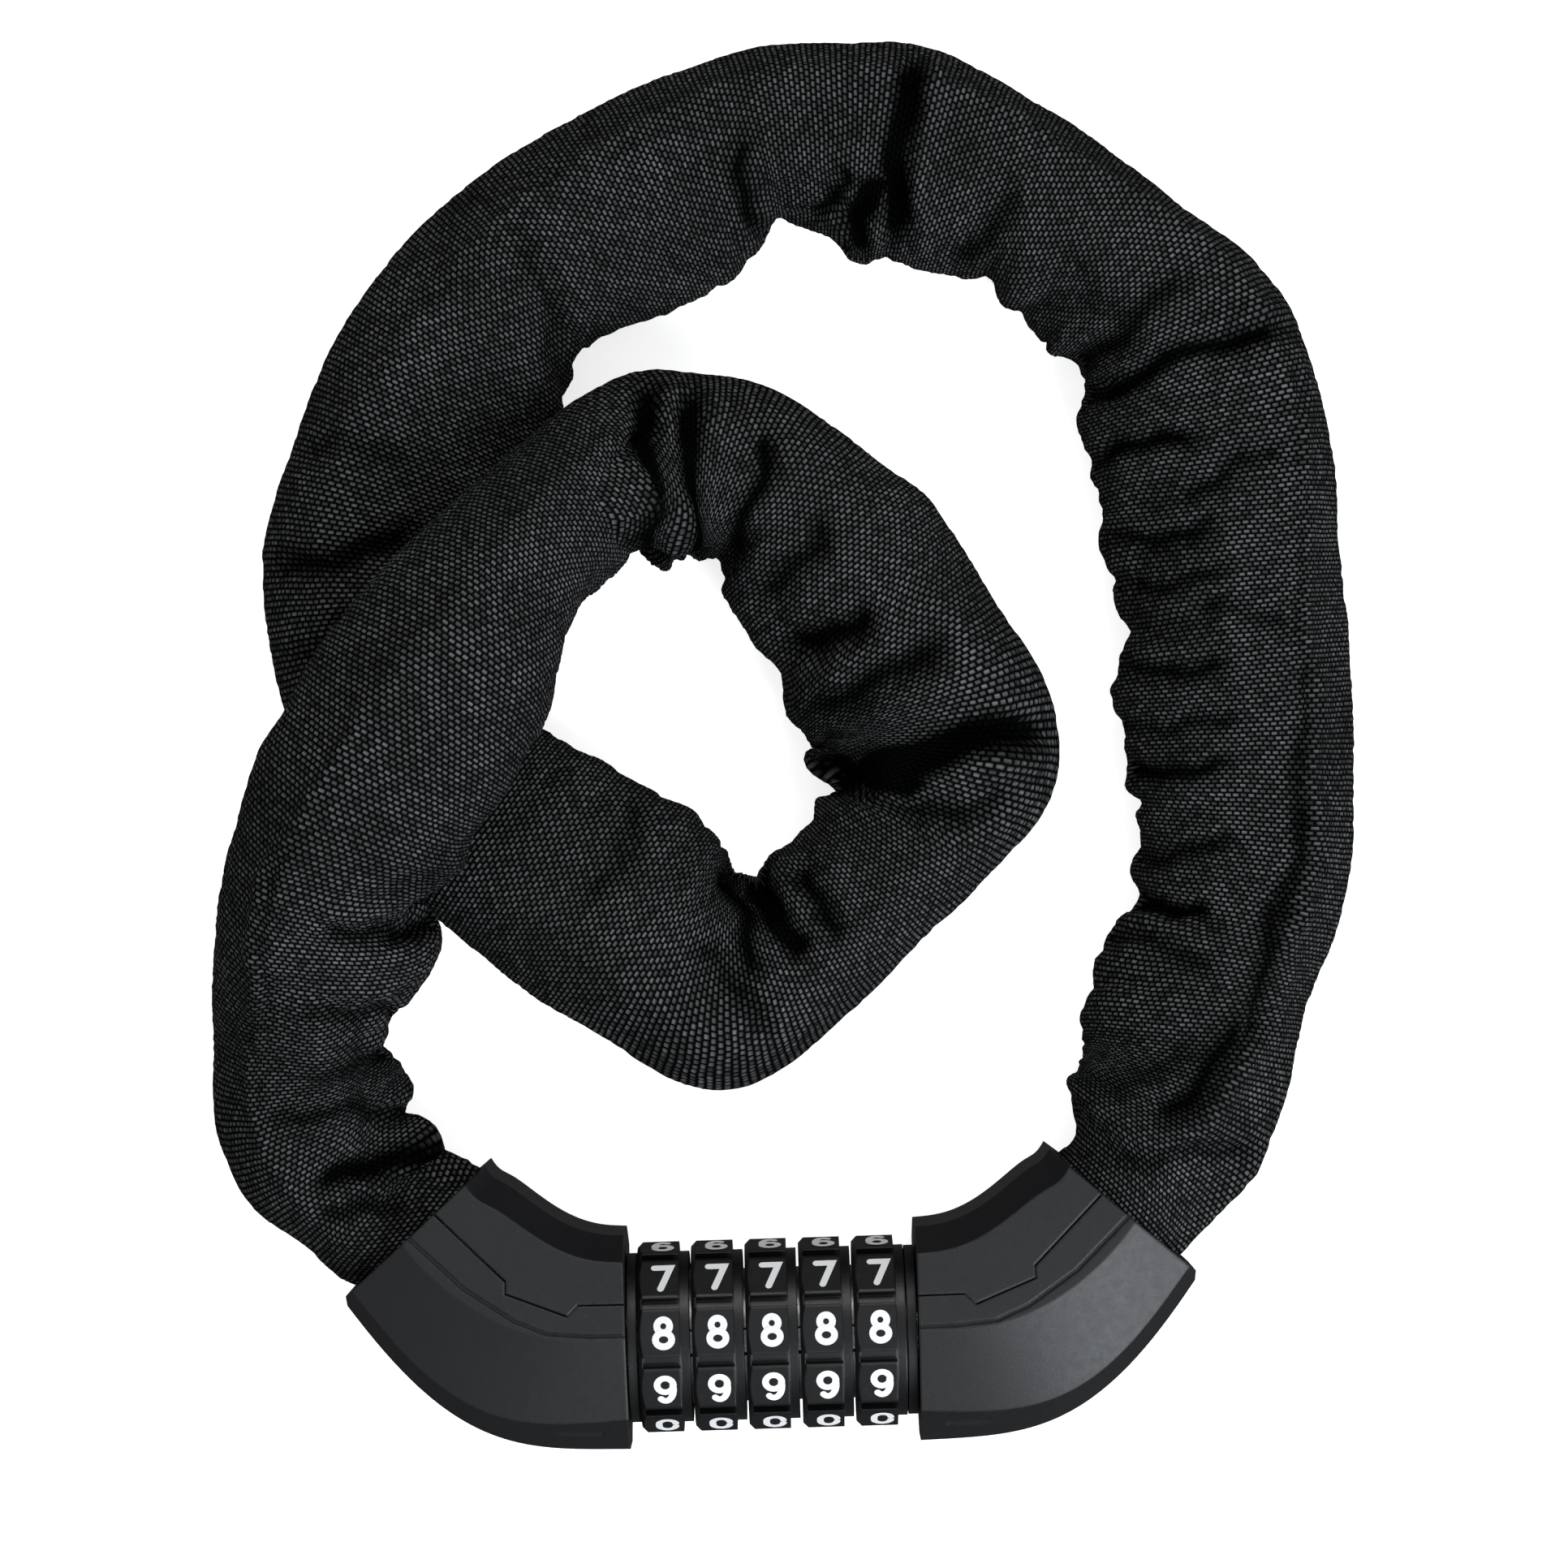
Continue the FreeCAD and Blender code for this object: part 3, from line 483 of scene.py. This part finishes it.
def along_route(points, back=7.0, reach=30.0, aside_share=0.15):
    """For points beside the route, in its order: how far along and how far to the left each is."""
    found = []
    at = 0.0
    for x, y in points:
        window = np.where((along > at - back) & (along < at + reach) & (along > -INSIDE))[0]
        px, py = np.array([true_place(x, y, z) for z in centre[window, 2]]).T
        dx, dy = px - centre[window, 0], py - centre[window, 1]
        ahead = dx * way[window, 0] + dy * way[window, 1]
        aside = dx * side[window, 0] + dy * side[window, 1]
        score = np.abs(ahead) + aside_share * np.abs(aside)
        best = int(np.argmin(score))
        found.append((along[window[best]], aside[best]))
        at = max(at, along[window[best]])
    return found


def steady(stations, soften=10.0):
    """A smooth value for each row from (distance along, value) stations."""
    distances, values = zip(*stations)
    return smoothed(np.interp(along, distances, values), soften)


def profile_of(points, soften):
    """How far to the left of the route a listed line is, at each row."""
    return steady(sorted(along_route(points)), soften)


left = profile_of(LEFT_EDGE, 3.0)
right = profile_of(RIGHT_EDGE, 1.5)
ridge = profile_of(RIDGE, 8.0)

RIDGE_LIMIT = 0.75         # how far from the middle the ridge may be, in half widths
half_width = (left - right) / 2
middle = (left + right) / 2
ridge_share = np.clip((ridge - middle) / half_width, -RIDGE_LIMIT, RIDGE_LIMIT)

# How sharply the ridge stands out, and half the sleeve's height, along the route.
crisp = steady([
    (0, 0.2), (15, 0.7), (60, 1.0), (110, 0.5), (150, 0.2), (200, 0.3), (240, 0.4),
    (300, 0.5), (370, 0.8), (420, 0.9), (470, 0.8), (510, 1.0), (560, 1.0), (580, 0.5),
])
half_height = steady([
    (-3, 8.3), (6, 9.4), (16, 10.6), (60, 11.2), (100, 11.4), (150, 10.6), (200, 10.7),
    (300, 10.5), (330, 10.4), (560, 10.5), (574, 9.4), (588, 8.3),
])
# Each end narrows to its mouth's half width over the neck's length.
NECK_LENGTH = 11.5
MOUTH_HALF_WIDTH = 10.4
neck = np.clip(np.minimum(along + INSIDE, LENGTH + INSIDE - along) / NECK_LENGTH, 0, 1)
neck = eased_step(neck)
half_width = MOUTH_HALF_WIDTH + (half_width - MOUTH_HALF_WIDTH) * neck
middle = middle * neck


def closed_spline(knots, fine=16):
    """Rows of closed smooth curves that follow rows of control values."""
    count = knots.shape[1]
    t = np.arange(count * fine) / fine
    first = np.floor(t).astype(int)
    f = t - first
    weights = [(1 - f) ** 3 / 6, (3 * f ** 3 - 6 * f ** 2 + 4) / 6,
               (-3 * f ** 3 + 3 * f ** 2 + 3 * f + 1) / 6, f ** 3 / 6]
    return sum(w * knots[:, (first + k - 1) % count] for k, w in enumerate(weights))


def ring_outlines():
    """Each row's closed outline, evenly spaced: flat at the bottom and peaked at the ridge."""
    r, q = ridge_share, crisp * neck
    # across and up, as shares of the half width and half height, from the middle of the bottom
    corners = [
        (0, -1), (0.45, -1), (0.80, -0.93), (0.99, -0.55), (1.03, -0.05),
        (0.95 + 0.02 * r, 0.36 - 0.10 * q),
        (r + (1 - r) * 0.62, 0.80 - 0.26 * q), (r + (1 - r) * 0.30, 0.95 - 0.20 * q),
        (r + 0.07 - 0.05 * q, 0.995 + 0.02 * q), (r - 0.07 + 0.03 * q, 0.995 + 0.02 * q),
        (r - (1 + r) * 0.30, 0.96 - 0.05 * q), (r - (1 + r) * 0.62, 0.83 - 0.09 * q),
        (-0.93 + 0.03 * r, 0.40 - 0.05 * q),
        (-1.03, -0.05), (-0.99, -0.55), (-0.80, -0.93), (-0.45, -1),
    ]
    one = np.ones(ROWS)
    u = closed_spline(np.stack([x * one for x, y in corners], axis=1) * half_width[:, None])
    v = closed_spline(np.stack([y * one for x, y in corners], axis=1) * half_height[:, None])
    # give back the full width and height that the smooth curve loses, with the bottom at its level
    u = u * (2 * half_width / (u.max(1) - u.min(1)))[:, None]
    v = v * (2 * half_height / (v.max(1) - v.min(1)))[:, None]
    v = v - v.min(1)[:, None] - half_height[:, None]
    even_u, even_v = np.zeros((ROWS, COLUMNS)), np.zeros((ROWS, COLUMNS))
    for row in range(ROWS):
        loop_u, loop_v = np.append(u[row], u[row, 0]), np.append(v[row], v[row, 0])
        gone = np.concatenate([[0], np.cumsum(np.hypot(np.diff(loop_u), np.diff(loop_v)))])
        want = np.arange(COLUMNS) / COLUMNS * gone[-1]
        even_u[row] = np.interp(want, gone, loop_u)
        even_v[row] = np.interp(want, gone, loop_v)
    return even_u + middle[:, None], even_v


FLOOR_GAP = 0.15           # the smooth sleeve's least height above the floor
flat_u, flat_v = ring_outlines()
lift = np.maximum(0.0, -(centre[:, 2] - half_height - FLOOR_GAP))
surface = (centre[:, None, :] + flat_u[:, :, None] * side[:, None, :]
           + (flat_v + lift[:, None])[:, :, None] * rise[:, None, :])


def surface_normals(points):
    """The outward normal at each point of the sleeve's grid."""
    down_rows = np.gradient(points, axis=0)
    round_ring = np.roll(points, -1, axis=1) - np.roll(points, 1, axis=1)
    normal = np.cross(round_ring, down_rows)
    not_zero = 1e-9
    normal /= np.maximum(np.linalg.norm(normal, axis=2), not_zero)[:, :, None]
    return normal


def soft_noise(seed, around, length):
    """Smooth random relief from -1 to 1, with features of that size around and along the sleeve."""
    rows = int(LENGTH / length) + 6
    cols = max(4, int(GIRTH / around))
    grid = np.random.RandomState(seed).uniform(-1, 1, (rows, cols))
    y = (along + INSIDE) / length
    x = np.arange(COLUMNS) / COLUMNS * cols
    y0, x0 = np.floor(y).astype(int), np.floor(x).astype(int)
    fy, fx = eased_step(y - y0), eased_step(x - x0)
    total = 0
    for a, wy in ((0, 1 - fy), (1, fy)):
        for b, wx in ((0, 1 - fx), (1, fx)):
            near = grid[np.minimum(y0 + a, rows - 1)][:, (x0 + b) % cols]
            total = total + near * wy[:, None] * wx[None, :]
    return total


INNER_FROM = 0.35          # gathers begin this far left of the middle, in half widths
leftward = (flat_u - middle[:, None]) / half_width[:, None]     # 1 on the left, -1 on the right
inner_share = np.clip(INNER_FROM - leftward, 0, 1)
normals = surface_normals(surface)
upward = np.clip(normals[:, :, 2], 0, 1)

# Loose cloth gathers crosswise on the inside of the bends and lies smooth over the outer corner.
gather = steady([
    (0, 1.2), (60, 1.0), (80, 0.35), (120, 0.5), (135, 1.0), (165, 0.8), (200, 1.0), (240, 0.6),
    (290, 0.4), (340, 0.7), (390, 0.6), (420, 0.9), (460, 1.0), (500, 1.1), (540, 0.9), (588, 0.5),
])
PUFFS, SMALL_PUFFS = 1.15, 0.42            # heights of the gathers
SWELLS, RIPPLES = 0.45, 0.2                # and of the gentle relief everywhere
UNDERSIDE = -0.5                           # the normal's Z below which the cloth lies pressed flat
puffs = 2.0 * np.abs(soft_noise(11, 15.0, 6.5)) - 0.5
small_puffs = 2.0 * np.abs(soft_noise(12, 9.0, 3.2)) - 0.5
relief = (PUFFS * puffs * (0.12 + 0.88 * inner_share)
          + SMALL_PUFFS * small_puffs * (0.1 + 0.9 * inner_share))
relief = (relief * gather[:, None] + SWELLS * soft_noise(13, 14.0, 16.0)
          + RIPPLES * soft_noise(14, 7.0, 8.0))
relief = relief * np.clip((neck * 1.4)[:, None], 0.15, 1)
relief = np.where(normals[:, :, 2] < UNDERSIDE, relief * 0.2, relief)

# Single creases, as seen from above: X and Y of two ends, then depth, width and the lip's height
# beside it, and the stretch of route it is on, from and to. The lip is on the left of the way from
# the first end to the second.
CREASES = [
    (24.5, 170, 20, 146, 3.2, 1.5, 1.4, 380, 460), (15, 145, 19, 154, 3.0, 1.8, 0.6, 380, 460),
    (11, 149, 15, 156, 1.6, 1.3, 0.6, 380, 460), (2, 147, 0, 160, 1.5, 1.4, 0.5, 380, 460),
    (30, 142, 37, 152, 1.2, 1.6, 0.5, 380, 470), (45.8, 124.4, 73, 132, 1.8, 1.4, 1.0, 430, 500),
    (44, 128, 60, 139, 1.3, 1.6, 0.8, 430, 500), (47, 115, 60, 119, 1.6, 1.3, 0.8, 450, 520),
    (58, 110, 71, 116, 1.1, 1.4, 0.5, 450, 520), (49, 104, 62, 106, 1.4, 1.3, 0.6, 450, 530),
    (60, 95, 72, 93, 1.0, 1.2, 0.5, 460, 540), (50, 98, 66, 100, 1.0, 1.1, 0.5, 460, 540),
    (50, 88, 64, 86, 1.3, 1.3, 0.7, 470, 545), (50, 74, 63, 73, 1.5, 1.3, 0.7, 480, 555),
    (51, 80, 66, 79, 0.9, 1.1, 0.5, 480, 555), (51, 62, 64, 63, 1.2, 1.2, 0.6, 490, 565),
    (50.5, 57, 60, 53, 1.7, 1.3, 0.8, 490, 570), (47, 51, 60, 48, 1.0, 1.2, 0.5, 500, 575),
    (43, 30, 58, 37, 0.9, 2.0, 0.4, 530, 585), (45, 23, 66, 21, 0.9, 1.4, 0.4, 540, 588),
    (-12, 127, -15.5, 106, 2.8, 1.5, 1.2, 105, 175),
    (-6.5, 126, -8.5, 104, 2.4, 1.5, 1.0, 105, 185), (3, 120, -2, 103, 1.7, 1.4, 0.7, 110, 190),
    (-13.5, 112, -12.5, 104, 2.6, 1.8, 0.3, 105, 180), (10, 108, 2, 97, 1.3, 1.8, 0.6, 130, 200),
    (16, 96, 5, 90, 1.6, 2.2, 0.5, 130, 210), (26, 90, 6, 83, 1.4, 2.2, 0.7, 140, 215),
    (38, 79.5, 10, 74, 4.2, 1.9, 1.8, 160, 260), (22, 73, 8, 75, 3.2, 1.6, 0.6, 160, 260),
    (34, 70, 16, 69, 1.2, 1.6, 0.5, 180, 270), (0, 62, 4, 50, 2.6, 1.7, 1.0, 200, 300),
    (-4, 62, -1, 47, 1.6, 1.8, 0.5, 210, 310), (7, 62, 9, 52, 1.5, 1.6, 0.6, 190, 290),
    (-16, 72, -22, 58, 0.9, 2.2, 0.4, 230, 320), (-9, 52, 2, 40, 1.1, 1.6, 0.4, 200, 300),
    (-60, 22, -42, 24.5, 2.0, 1.5, 0.9, -5, 50), (-66, 30, -46, 30.5, 1.2, 1.3, 0.6, 0, 70),
    (-62, 38, -48, 37, 1.1, 1.3, 0.6, 0, 75), (-62, 46, -48, 42, 1.0, 1.2, 0.5, 5, 80),
    (-58, 54, -44, 56.5, 1.3, 1.4, 0.8, 20, 90), (-60, 17, -48, 18.5, 1.2, 1.2, 0.4, -5, 30),
    (-64, 103, -44, 108, 1.4, 1.6, 0.7, 300, 370), (-62, 92, -50, 96, 1.0, 1.6, 0.4, 290, 360),
    (-60, 120, -44, 118, 0.8, 1.8, 0.4, 310, 385),
    (-29.2, 149, -24, 128, 0.9, 1.6, 0.4, 350, 420),
    # the lines beside the ridge, where the cloth turns down over the chain's corner
    (72, 132, 74, 108, 0.5, 0.7, 0.35, 430, 520), (74, 112, 73.4, 82, 0.55, 0.7, 0.4, 450, 540),
    (73.2, 88, 72.1, 64, 0.9, 1.2, 0.7, 480, 560), (72.3, 68, 69.4, 52, 1.2, 1.5, 1.0, 490, 575),
    (70, 56, 63.4, 36.5, 1.4, 1.7, 1.1, 500, 585),
    (64.5, 40, 52.5, 26.5, 1.5, 1.8, 1.1, 515, 590),
    (-67.5, 26, -67.5, 46, 0.5, 0.7, 0.35, 0, 60), (-67.5, 42, -64.5, 64, 0.55, 0.7, 0.4, 20, 80),
    (-65, 60, -50, 86, 0.4, 0.8, 0.3, 40, 110), (-44, 138, -20, 158, 0.4, 0.8, 0.3, 330, 420),
    (-24, 156, 8, 168.5, 0.4, 0.8, 0.3, 350, 440),
]


FULL_FOLD = 1.5            # a crease this deep gets the full painted fold shade
LEAST_UPWARD = 0.02        # creases stay off the side that faces down


def pressed(points, relief):
    """The relief with the creases pressed in, and each point's painted fold shade: how deep in a
    crease it is, from 0 to 1.
    """
    relief = relief.copy()
    painted_fold_shade = np.zeros((ROWS, COLUMNS))
    for x1, y1, x2, y2, depth, width, lip, low, high in CREASES:
        rows = np.where((along > low) & (along < high))[0]
        z = centre[rows, 2].mean() + half_height[rows].mean()
        ax, ay = true_place(x1, y1, z)
        bx, by = true_place(x2, y2, z)
        run = math.hypot(bx - ax, by - ay)
        tx, ty = (bx - ax) / run, (by - ay) / run
        dx, dy = points[rows, :, 0] - ax, points[rows, :, 1] - ay
        along_it = (dx * tx + dy * ty) / run
        wander = 0.8 * np.sin(along_it * 5.0 + x1) + 0.35 * np.sin(along_it * 13.0 + y1)
        off_it = -dx * ty + dy * tx + wander
        # the crease fades in before its first end and out past its second
        ends = (np.clip((along_it + 0.12) / 0.25, 0, 1)
                * np.clip((1.12 - along_it) / 0.3, 0, 1))
        ends = eased_step(ends) * (upward[rows] > LEAST_UPWARD)
        dip = np.exp(-(off_it / width) ** 2) * ends
        raised = np.exp(-((off_it - 2.0 * width) / (1.1 * width)) ** 2) * ends
        relief[rows] += lip * raised - depth * dip
        painted_fold_shade[rows] = np.maximum(painted_fold_shade[rows], np.clip(dip * depth / FULL_FOLD, 0, 1))
    return relief, painted_fold_shade


REACH = 9.0                # how far under the cloth links are looked for
RAY_STARTS = (5.0, 2.0)    # and how far above it the look starts, tried in turn
COVER = 0.8                # the gap to leave between the links and the cloth
OWN_ROWS = 45              # links within this many rows are the ones inside the cloth here
ROOM_SLOPE = 0.3           # how much the room may grow from one point to the next
SLOPE_PASSES = 10
EASE_PASSES = 3
EASE_LIMIT = 0.15          # how far easing may raise the room


def room_over_links(points, normals):
    """How far each point can sink before it meets the chain's links, eased off around them."""
    mesh_points, mesh_faces = [], []
    for node_name in CHAIN_NODES:
        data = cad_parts[node_name].data
        base = len(mesh_points)
        mesh_points += [v.co / MM for v in data.vertices]
        mesh_faces += [tuple(base + k for k in face.vertices) for face in data.polygons]
    tree = BVHTree.FromPolygons(mesh_points, mesh_faces)
    # a crossing puts other links in the way, so each link's face knows its own row
    nearest = KDTree(ROWS)
    for row in range(ROWS):
        nearest.insert(centre[row], row)
    nearest.balance()
    rows_of_faces = [nearest.find(mesh_points[face[0]])[1] for face in mesh_faces]
    room = np.full((ROWS, COLUMNS), REACH)
    for row in range(ROWS):
        for column in range(COLUMNS):
            way_out = Vector(normals[row, column])
            for start in RAY_STARTS:
                begin = Vector(points[row, column]) + way_out * start
                _, _, index, distance = tree.ray_cast(begin, -way_out, start + REACH)
                if index is not None and abs(rows_of_faces[index] - row) < OWN_ROWS:
                    room[row, column] = distance - start - COVER
                    break
    for _ in range(SLOPE_PASSES):
        beside = np.minimum(np.roll(room, 1, axis=1), np.roll(room, -1, axis=1))
        room = np.minimum(room, beside + ROOM_SLOPE)
        room[1:] = np.minimum(room[1:], room[:-1] + ROOM_SLOPE)
        room[:-1] = np.minimum(room[:-1], room[1:] + ROOM_SLOPE)
    eased = room
    for _ in range(EASE_PASSES):
        eased = (eased + np.roll(eased, 1, axis=1) + np.roll(eased, -1, axis=1)) / 3
        eased[1:-1] = (eased[1:-1] + eased[:-2] + eased[2:]) / 3
    return np.minimum(eased, room + EASE_LIMIT)


GRAIN = 0.13               # the threads' crossings leave the edges slightly serrated
LEAST_Z = 0.1
relief, painted_fold_shade = pressed(surface, relief)
# the hollows between puffs get painted shade too, as shallower folds
painted_fold_shade = np.maximum(painted_fold_shade, np.clip(-0.15 - 0.6 * relief, 0, 0.8))
relief = np.maximum(relief, -room_over_links(surface, normals))
surface = surface + normals * relief[:, :, None]
grain = np.random.RandomState(21).uniform(-1, 1, (ROWS, COLUMNS))
surface = surface + surface_normals(surface) * (GRAIN * grain)[:, :, None]
surface[:, :, 2] = np.maximum(surface[:, :, 2], LEAST_Z)


def sleeve_piece(name, first, last):
    """The sleeve's rows from first up to last as one mesh, with its thread map and painted fold
    shade.
    """
    rows = last - first
    points = surface[first:last].reshape(-1, 3) * MM
    a, b = np.meshgrid(np.arange(rows - 1), np.arange(COLUMNS), indexing="ij")
    a, b = a.ravel(), b.ravel()
    after = (b + 1) % COLUMNS
    here, below = a * COLUMNS, (a + 1) * COLUMNS
    corners = np.stack([here + b, below + b, below + after, here + after], axis=1)
    mesh = bpy.data.meshes.new(name)
    mesh.from_pydata(points.tolist(), [], corners.tolist())
    mesh.polygons.foreach_set("use_smooth", np.ones(len(corners), bool))
    maps = mesh.uv_layers.new(name=THREAD_MAP)
    u = np.stack([b, b, b + 1, b + 1], axis=1) * (FLOATS_AROUND / COLUMNS)
    v = (np.stack([a, a + 1, a + 1, a], axis=1) + first) * (ROW_PITCH / THREAD)
    maps.data.foreach_set("uv", np.stack([u, v], axis=2).astype(np.float32).ravel())
    shade = mesh.attributes.new(FOLD_SHADE, "FLOAT", "POINT")
    shade.data.foreach_set("value", painted_fold_shade[first:last].astype(np.float32).ravel())
    mesh.update()
    mesh.materials.append(WEAVE)
    piece = bpy.data.objects.new(name, mesh)
    bpy.context.scene.collection.objects.link(piece)
    return piece


# The sleeve is two meshes that share the seam's ring, because its last stretch swings.
SEAM_DISTANCE = 468.0
SEAM = int((SEAM_DISTANCE + INSIDE) / ROW_PITCH) // 2 * 2
main_sleeve = sleeve_piece("sleeve_cloth", 0, SEAM + 1)
strand_sleeve = sleeve_piece("sleeve_cloth_strand", SEAM, ROWS)
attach(main_sleeve, "lock_body")
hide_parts("sleeve")
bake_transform(strand_sleeve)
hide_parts("sleeve_strand")

# ---------------------------------------------------------------- digits
DIGITS = 10
DIAL_PITCH = 7.1
DIGIT_WIDTH = 3.1
DIGIT_HEIGHT = 4.4
STROKE = 0.88
PAD_RADIUS = 12.279        # from the dial axis to the flat of a pad
PROUD = 0.05               # how far the first stroke stands off the pad
STROKE_STEP = 0.03         # and how much further each stroke over it
FIRST_TILT = 8.5           # degrees from straight up to the digit FIRST_DIGIT
FIRST_DIGIT = 8
CAP_SIDES = 8


def arc(cx, cy, rx, ry, start, end, count=20):
    """Points on an ellipse's arc, from and to angles in degrees."""
    angles = [math.radians(start + (end - start) * k / count) for k in range(count + 1)]
    return [(cx + rx * math.cos(a), cy + ry * math.sin(a)) for a in angles]


# Each rounded digit as lines down the middle of its strokes, in a box 1 wide and 1 tall.
DIGIT_STROKES = [
    [arc(0, 0.12, 0.5, 0.38, 0, 180) + arc(0, -0.12, 0.5, 0.38, 180, 360)],
    [[(-0.28, 0.3), (0.05, 0.5), (0.05, -0.5)]],
    [arc(0, 0.2, 0.48, 0.3, 165, -35) + [(-0.48, -0.5), (0.5, -0.5)]],
    [arc(-0.02, 0.25, 0.44, 0.25, 150, -90), arc(-0.02, -0.24, 0.5, 0.26, 90, -150)],
    [[(0.22, -0.5), (0.22, 0.5), (-0.5, -0.2), (0.5, -0.2)]],
    [[(0.42, 0.5), (-0.36, 0.5), (-0.42, 0.05)] + arc(0, -0.18, 0.5, 0.32, 135, -150)],
    [arc(0, -0.19, 0.48, 0.31, 0, 360), arc(0, 0, 0.48, 0.5, 200, 55)],
    [[(-0.48, 0.5), (0.48, 0.5), (-0.12, -0.5)]],
    [arc(0, 0.26, 0.38, 0.24, 0, 360), arc(0, -0.24, 0.48, 0.26, 0, 360)],
    [arc(0, 0.19, 0.48, 0.31, 0, 360), arc(0, 0, 0.48, 0.5, 20, -125)],
]


def stroke_faces(line, points, faces):
    """Adds a ribbon of the stroke's width along a line, with round ends, to points and faces."""
    half = STROKE / 2
    tiny = 1e-6
    sharpest = 0.45        # least cosine of a mitre, so that no corner shoots out
    closed = math.dist(line[0], line[-1]) < tiny
    sides = []
    for k, (x, y) in enumerate(line):
        before = line[k - 1] if k > 0 else (line[-2] if closed else line[0])
        after = line[k + 1] if k < len(line) - 1 else (line[1] if closed else line[-1])
        in_way = Vector((x - before[0], y - before[1]))
        out_way = Vector((after[0] - x, after[1] - y))
        ways = [w.normalized() for w in (in_way, out_way) if w.length > tiny]
        mean = sum(ways, Vector((0, 0))).normalized()
        reach = half / max(sharpest, mean.dot(ways[0]))
        sides.append(((x - mean.y * reach, y + mean.x * reach),
                      (x + mean.y * reach, y - mean.x * reach)))
    base = len(points)
    for pair in sides:
        points += pair
    for k in range(len(sides) - 1):
        faces.append((base + 2 * k + 1, base + 2 * k + 3, base + 2 * k + 2, base + 2 * k))
    if closed:
        return
    for (x, y), (from_x, from_y) in ((line[0], line[1]), (line[-1], line[-2])):
        base = len(points)
        ahead = math.atan2(y - from_y, x - from_x)
        turns = [ahead + (k / CAP_SIDES - 0.5) * math.pi for k in range(CAP_SIDES + 1)]
        points += [(x + half * math.cos(a), y + half * math.sin(a)) for a in turns]
        faces.append(tuple(range(base, len(points))))


def dial_digits(number):
    """The ten digits of one dial, printed on its pads."""
    name = "digits_%d" % number
    middle_x = (number - (DIALS + 1) // 2) * DIAL_PITCH
    points, faces = [], []
    for place in range(DIGITS):
        lean = math.radians(FIRST_TILT + 360 // DIGITS * place)
        for order, line in enumerate(DIGIT_STROKES[(FIRST_DIGIT - place) % DIGITS]):
            sized = [(x * (DIGIT_WIDTH - STROKE), y * (DIGIT_HEIGHT - STROKE)) for x, y in line]
            flat_points, flat_faces = [], []
            stroke_faces(sized, flat_points, flat_faces)
            base = len(points)
            out = PAD_RADIUS + PROUD + STROKE_STEP * order
            for x, y in flat_points:
                up = out * math.cos(lean) - y * math.sin(lean)
                back = out * math.sin(lean) + y * math.cos(lean)
                points.append(((middle_x + x) * MM, (AXIS_Y + back) * MM, (AXIS_Z + up) * MM))
            faces += [tuple(base + k for k in face) for face in flat_faces]
    mesh = bpy.data.meshes.new(name)
    mesh.from_pydata(points, [], faces)
    mesh.update()
    mesh.materials.append(INK)
    piece = bpy.data.objects.new(name, mesh)
    bpy.context.scene.collection.objects.link(piece)
    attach(piece, "dial_body_%d" % number)


for dial_number in range(1, DIALS + 1):
    dial_digits(dial_number)


# ---------------------------------------------------------------- floor
FLOOR_HALF = 3             # metres
floor_mesh = bpy.data.meshes.new("floor")
corner_signs = ((-1, -1), (1, -1), (1, 1), (-1, 1))
floor_corners = [(x * FLOOR_HALF, y * FLOOR_HALF, 0) for x, y in corner_signs]
floor_mesh.from_pydata(floor_corners, [], [(0, 1, 2, 3)])
floor = bpy.data.objects.new("floor", floor_mesh)
bpy.context.scene.collection.objects.link(floor)
n = Nodes("floor_paper")
paper = n.noise(n.place(), 300.0)
n.link(n.mix(n.spread(paper, 0.3, 0.7), grey(0.93), grey(0.95)), n.shader.inputs["Base Color"])
n.shader.inputs["Roughness"].default_value = 0.9
n.shader.inputs["Emission Color"].default_value = (1.0, 1.0, 1.0, 1.0)
n.shader.inputs["Emission Strength"].default_value = 0.75
floor_mesh.materials.append(n.material)
# the floor glows to be as pale as the photograph's, and doesn't light or mirror in the lock
floor.visible_diffuse = False
floor.visible_glossy = False
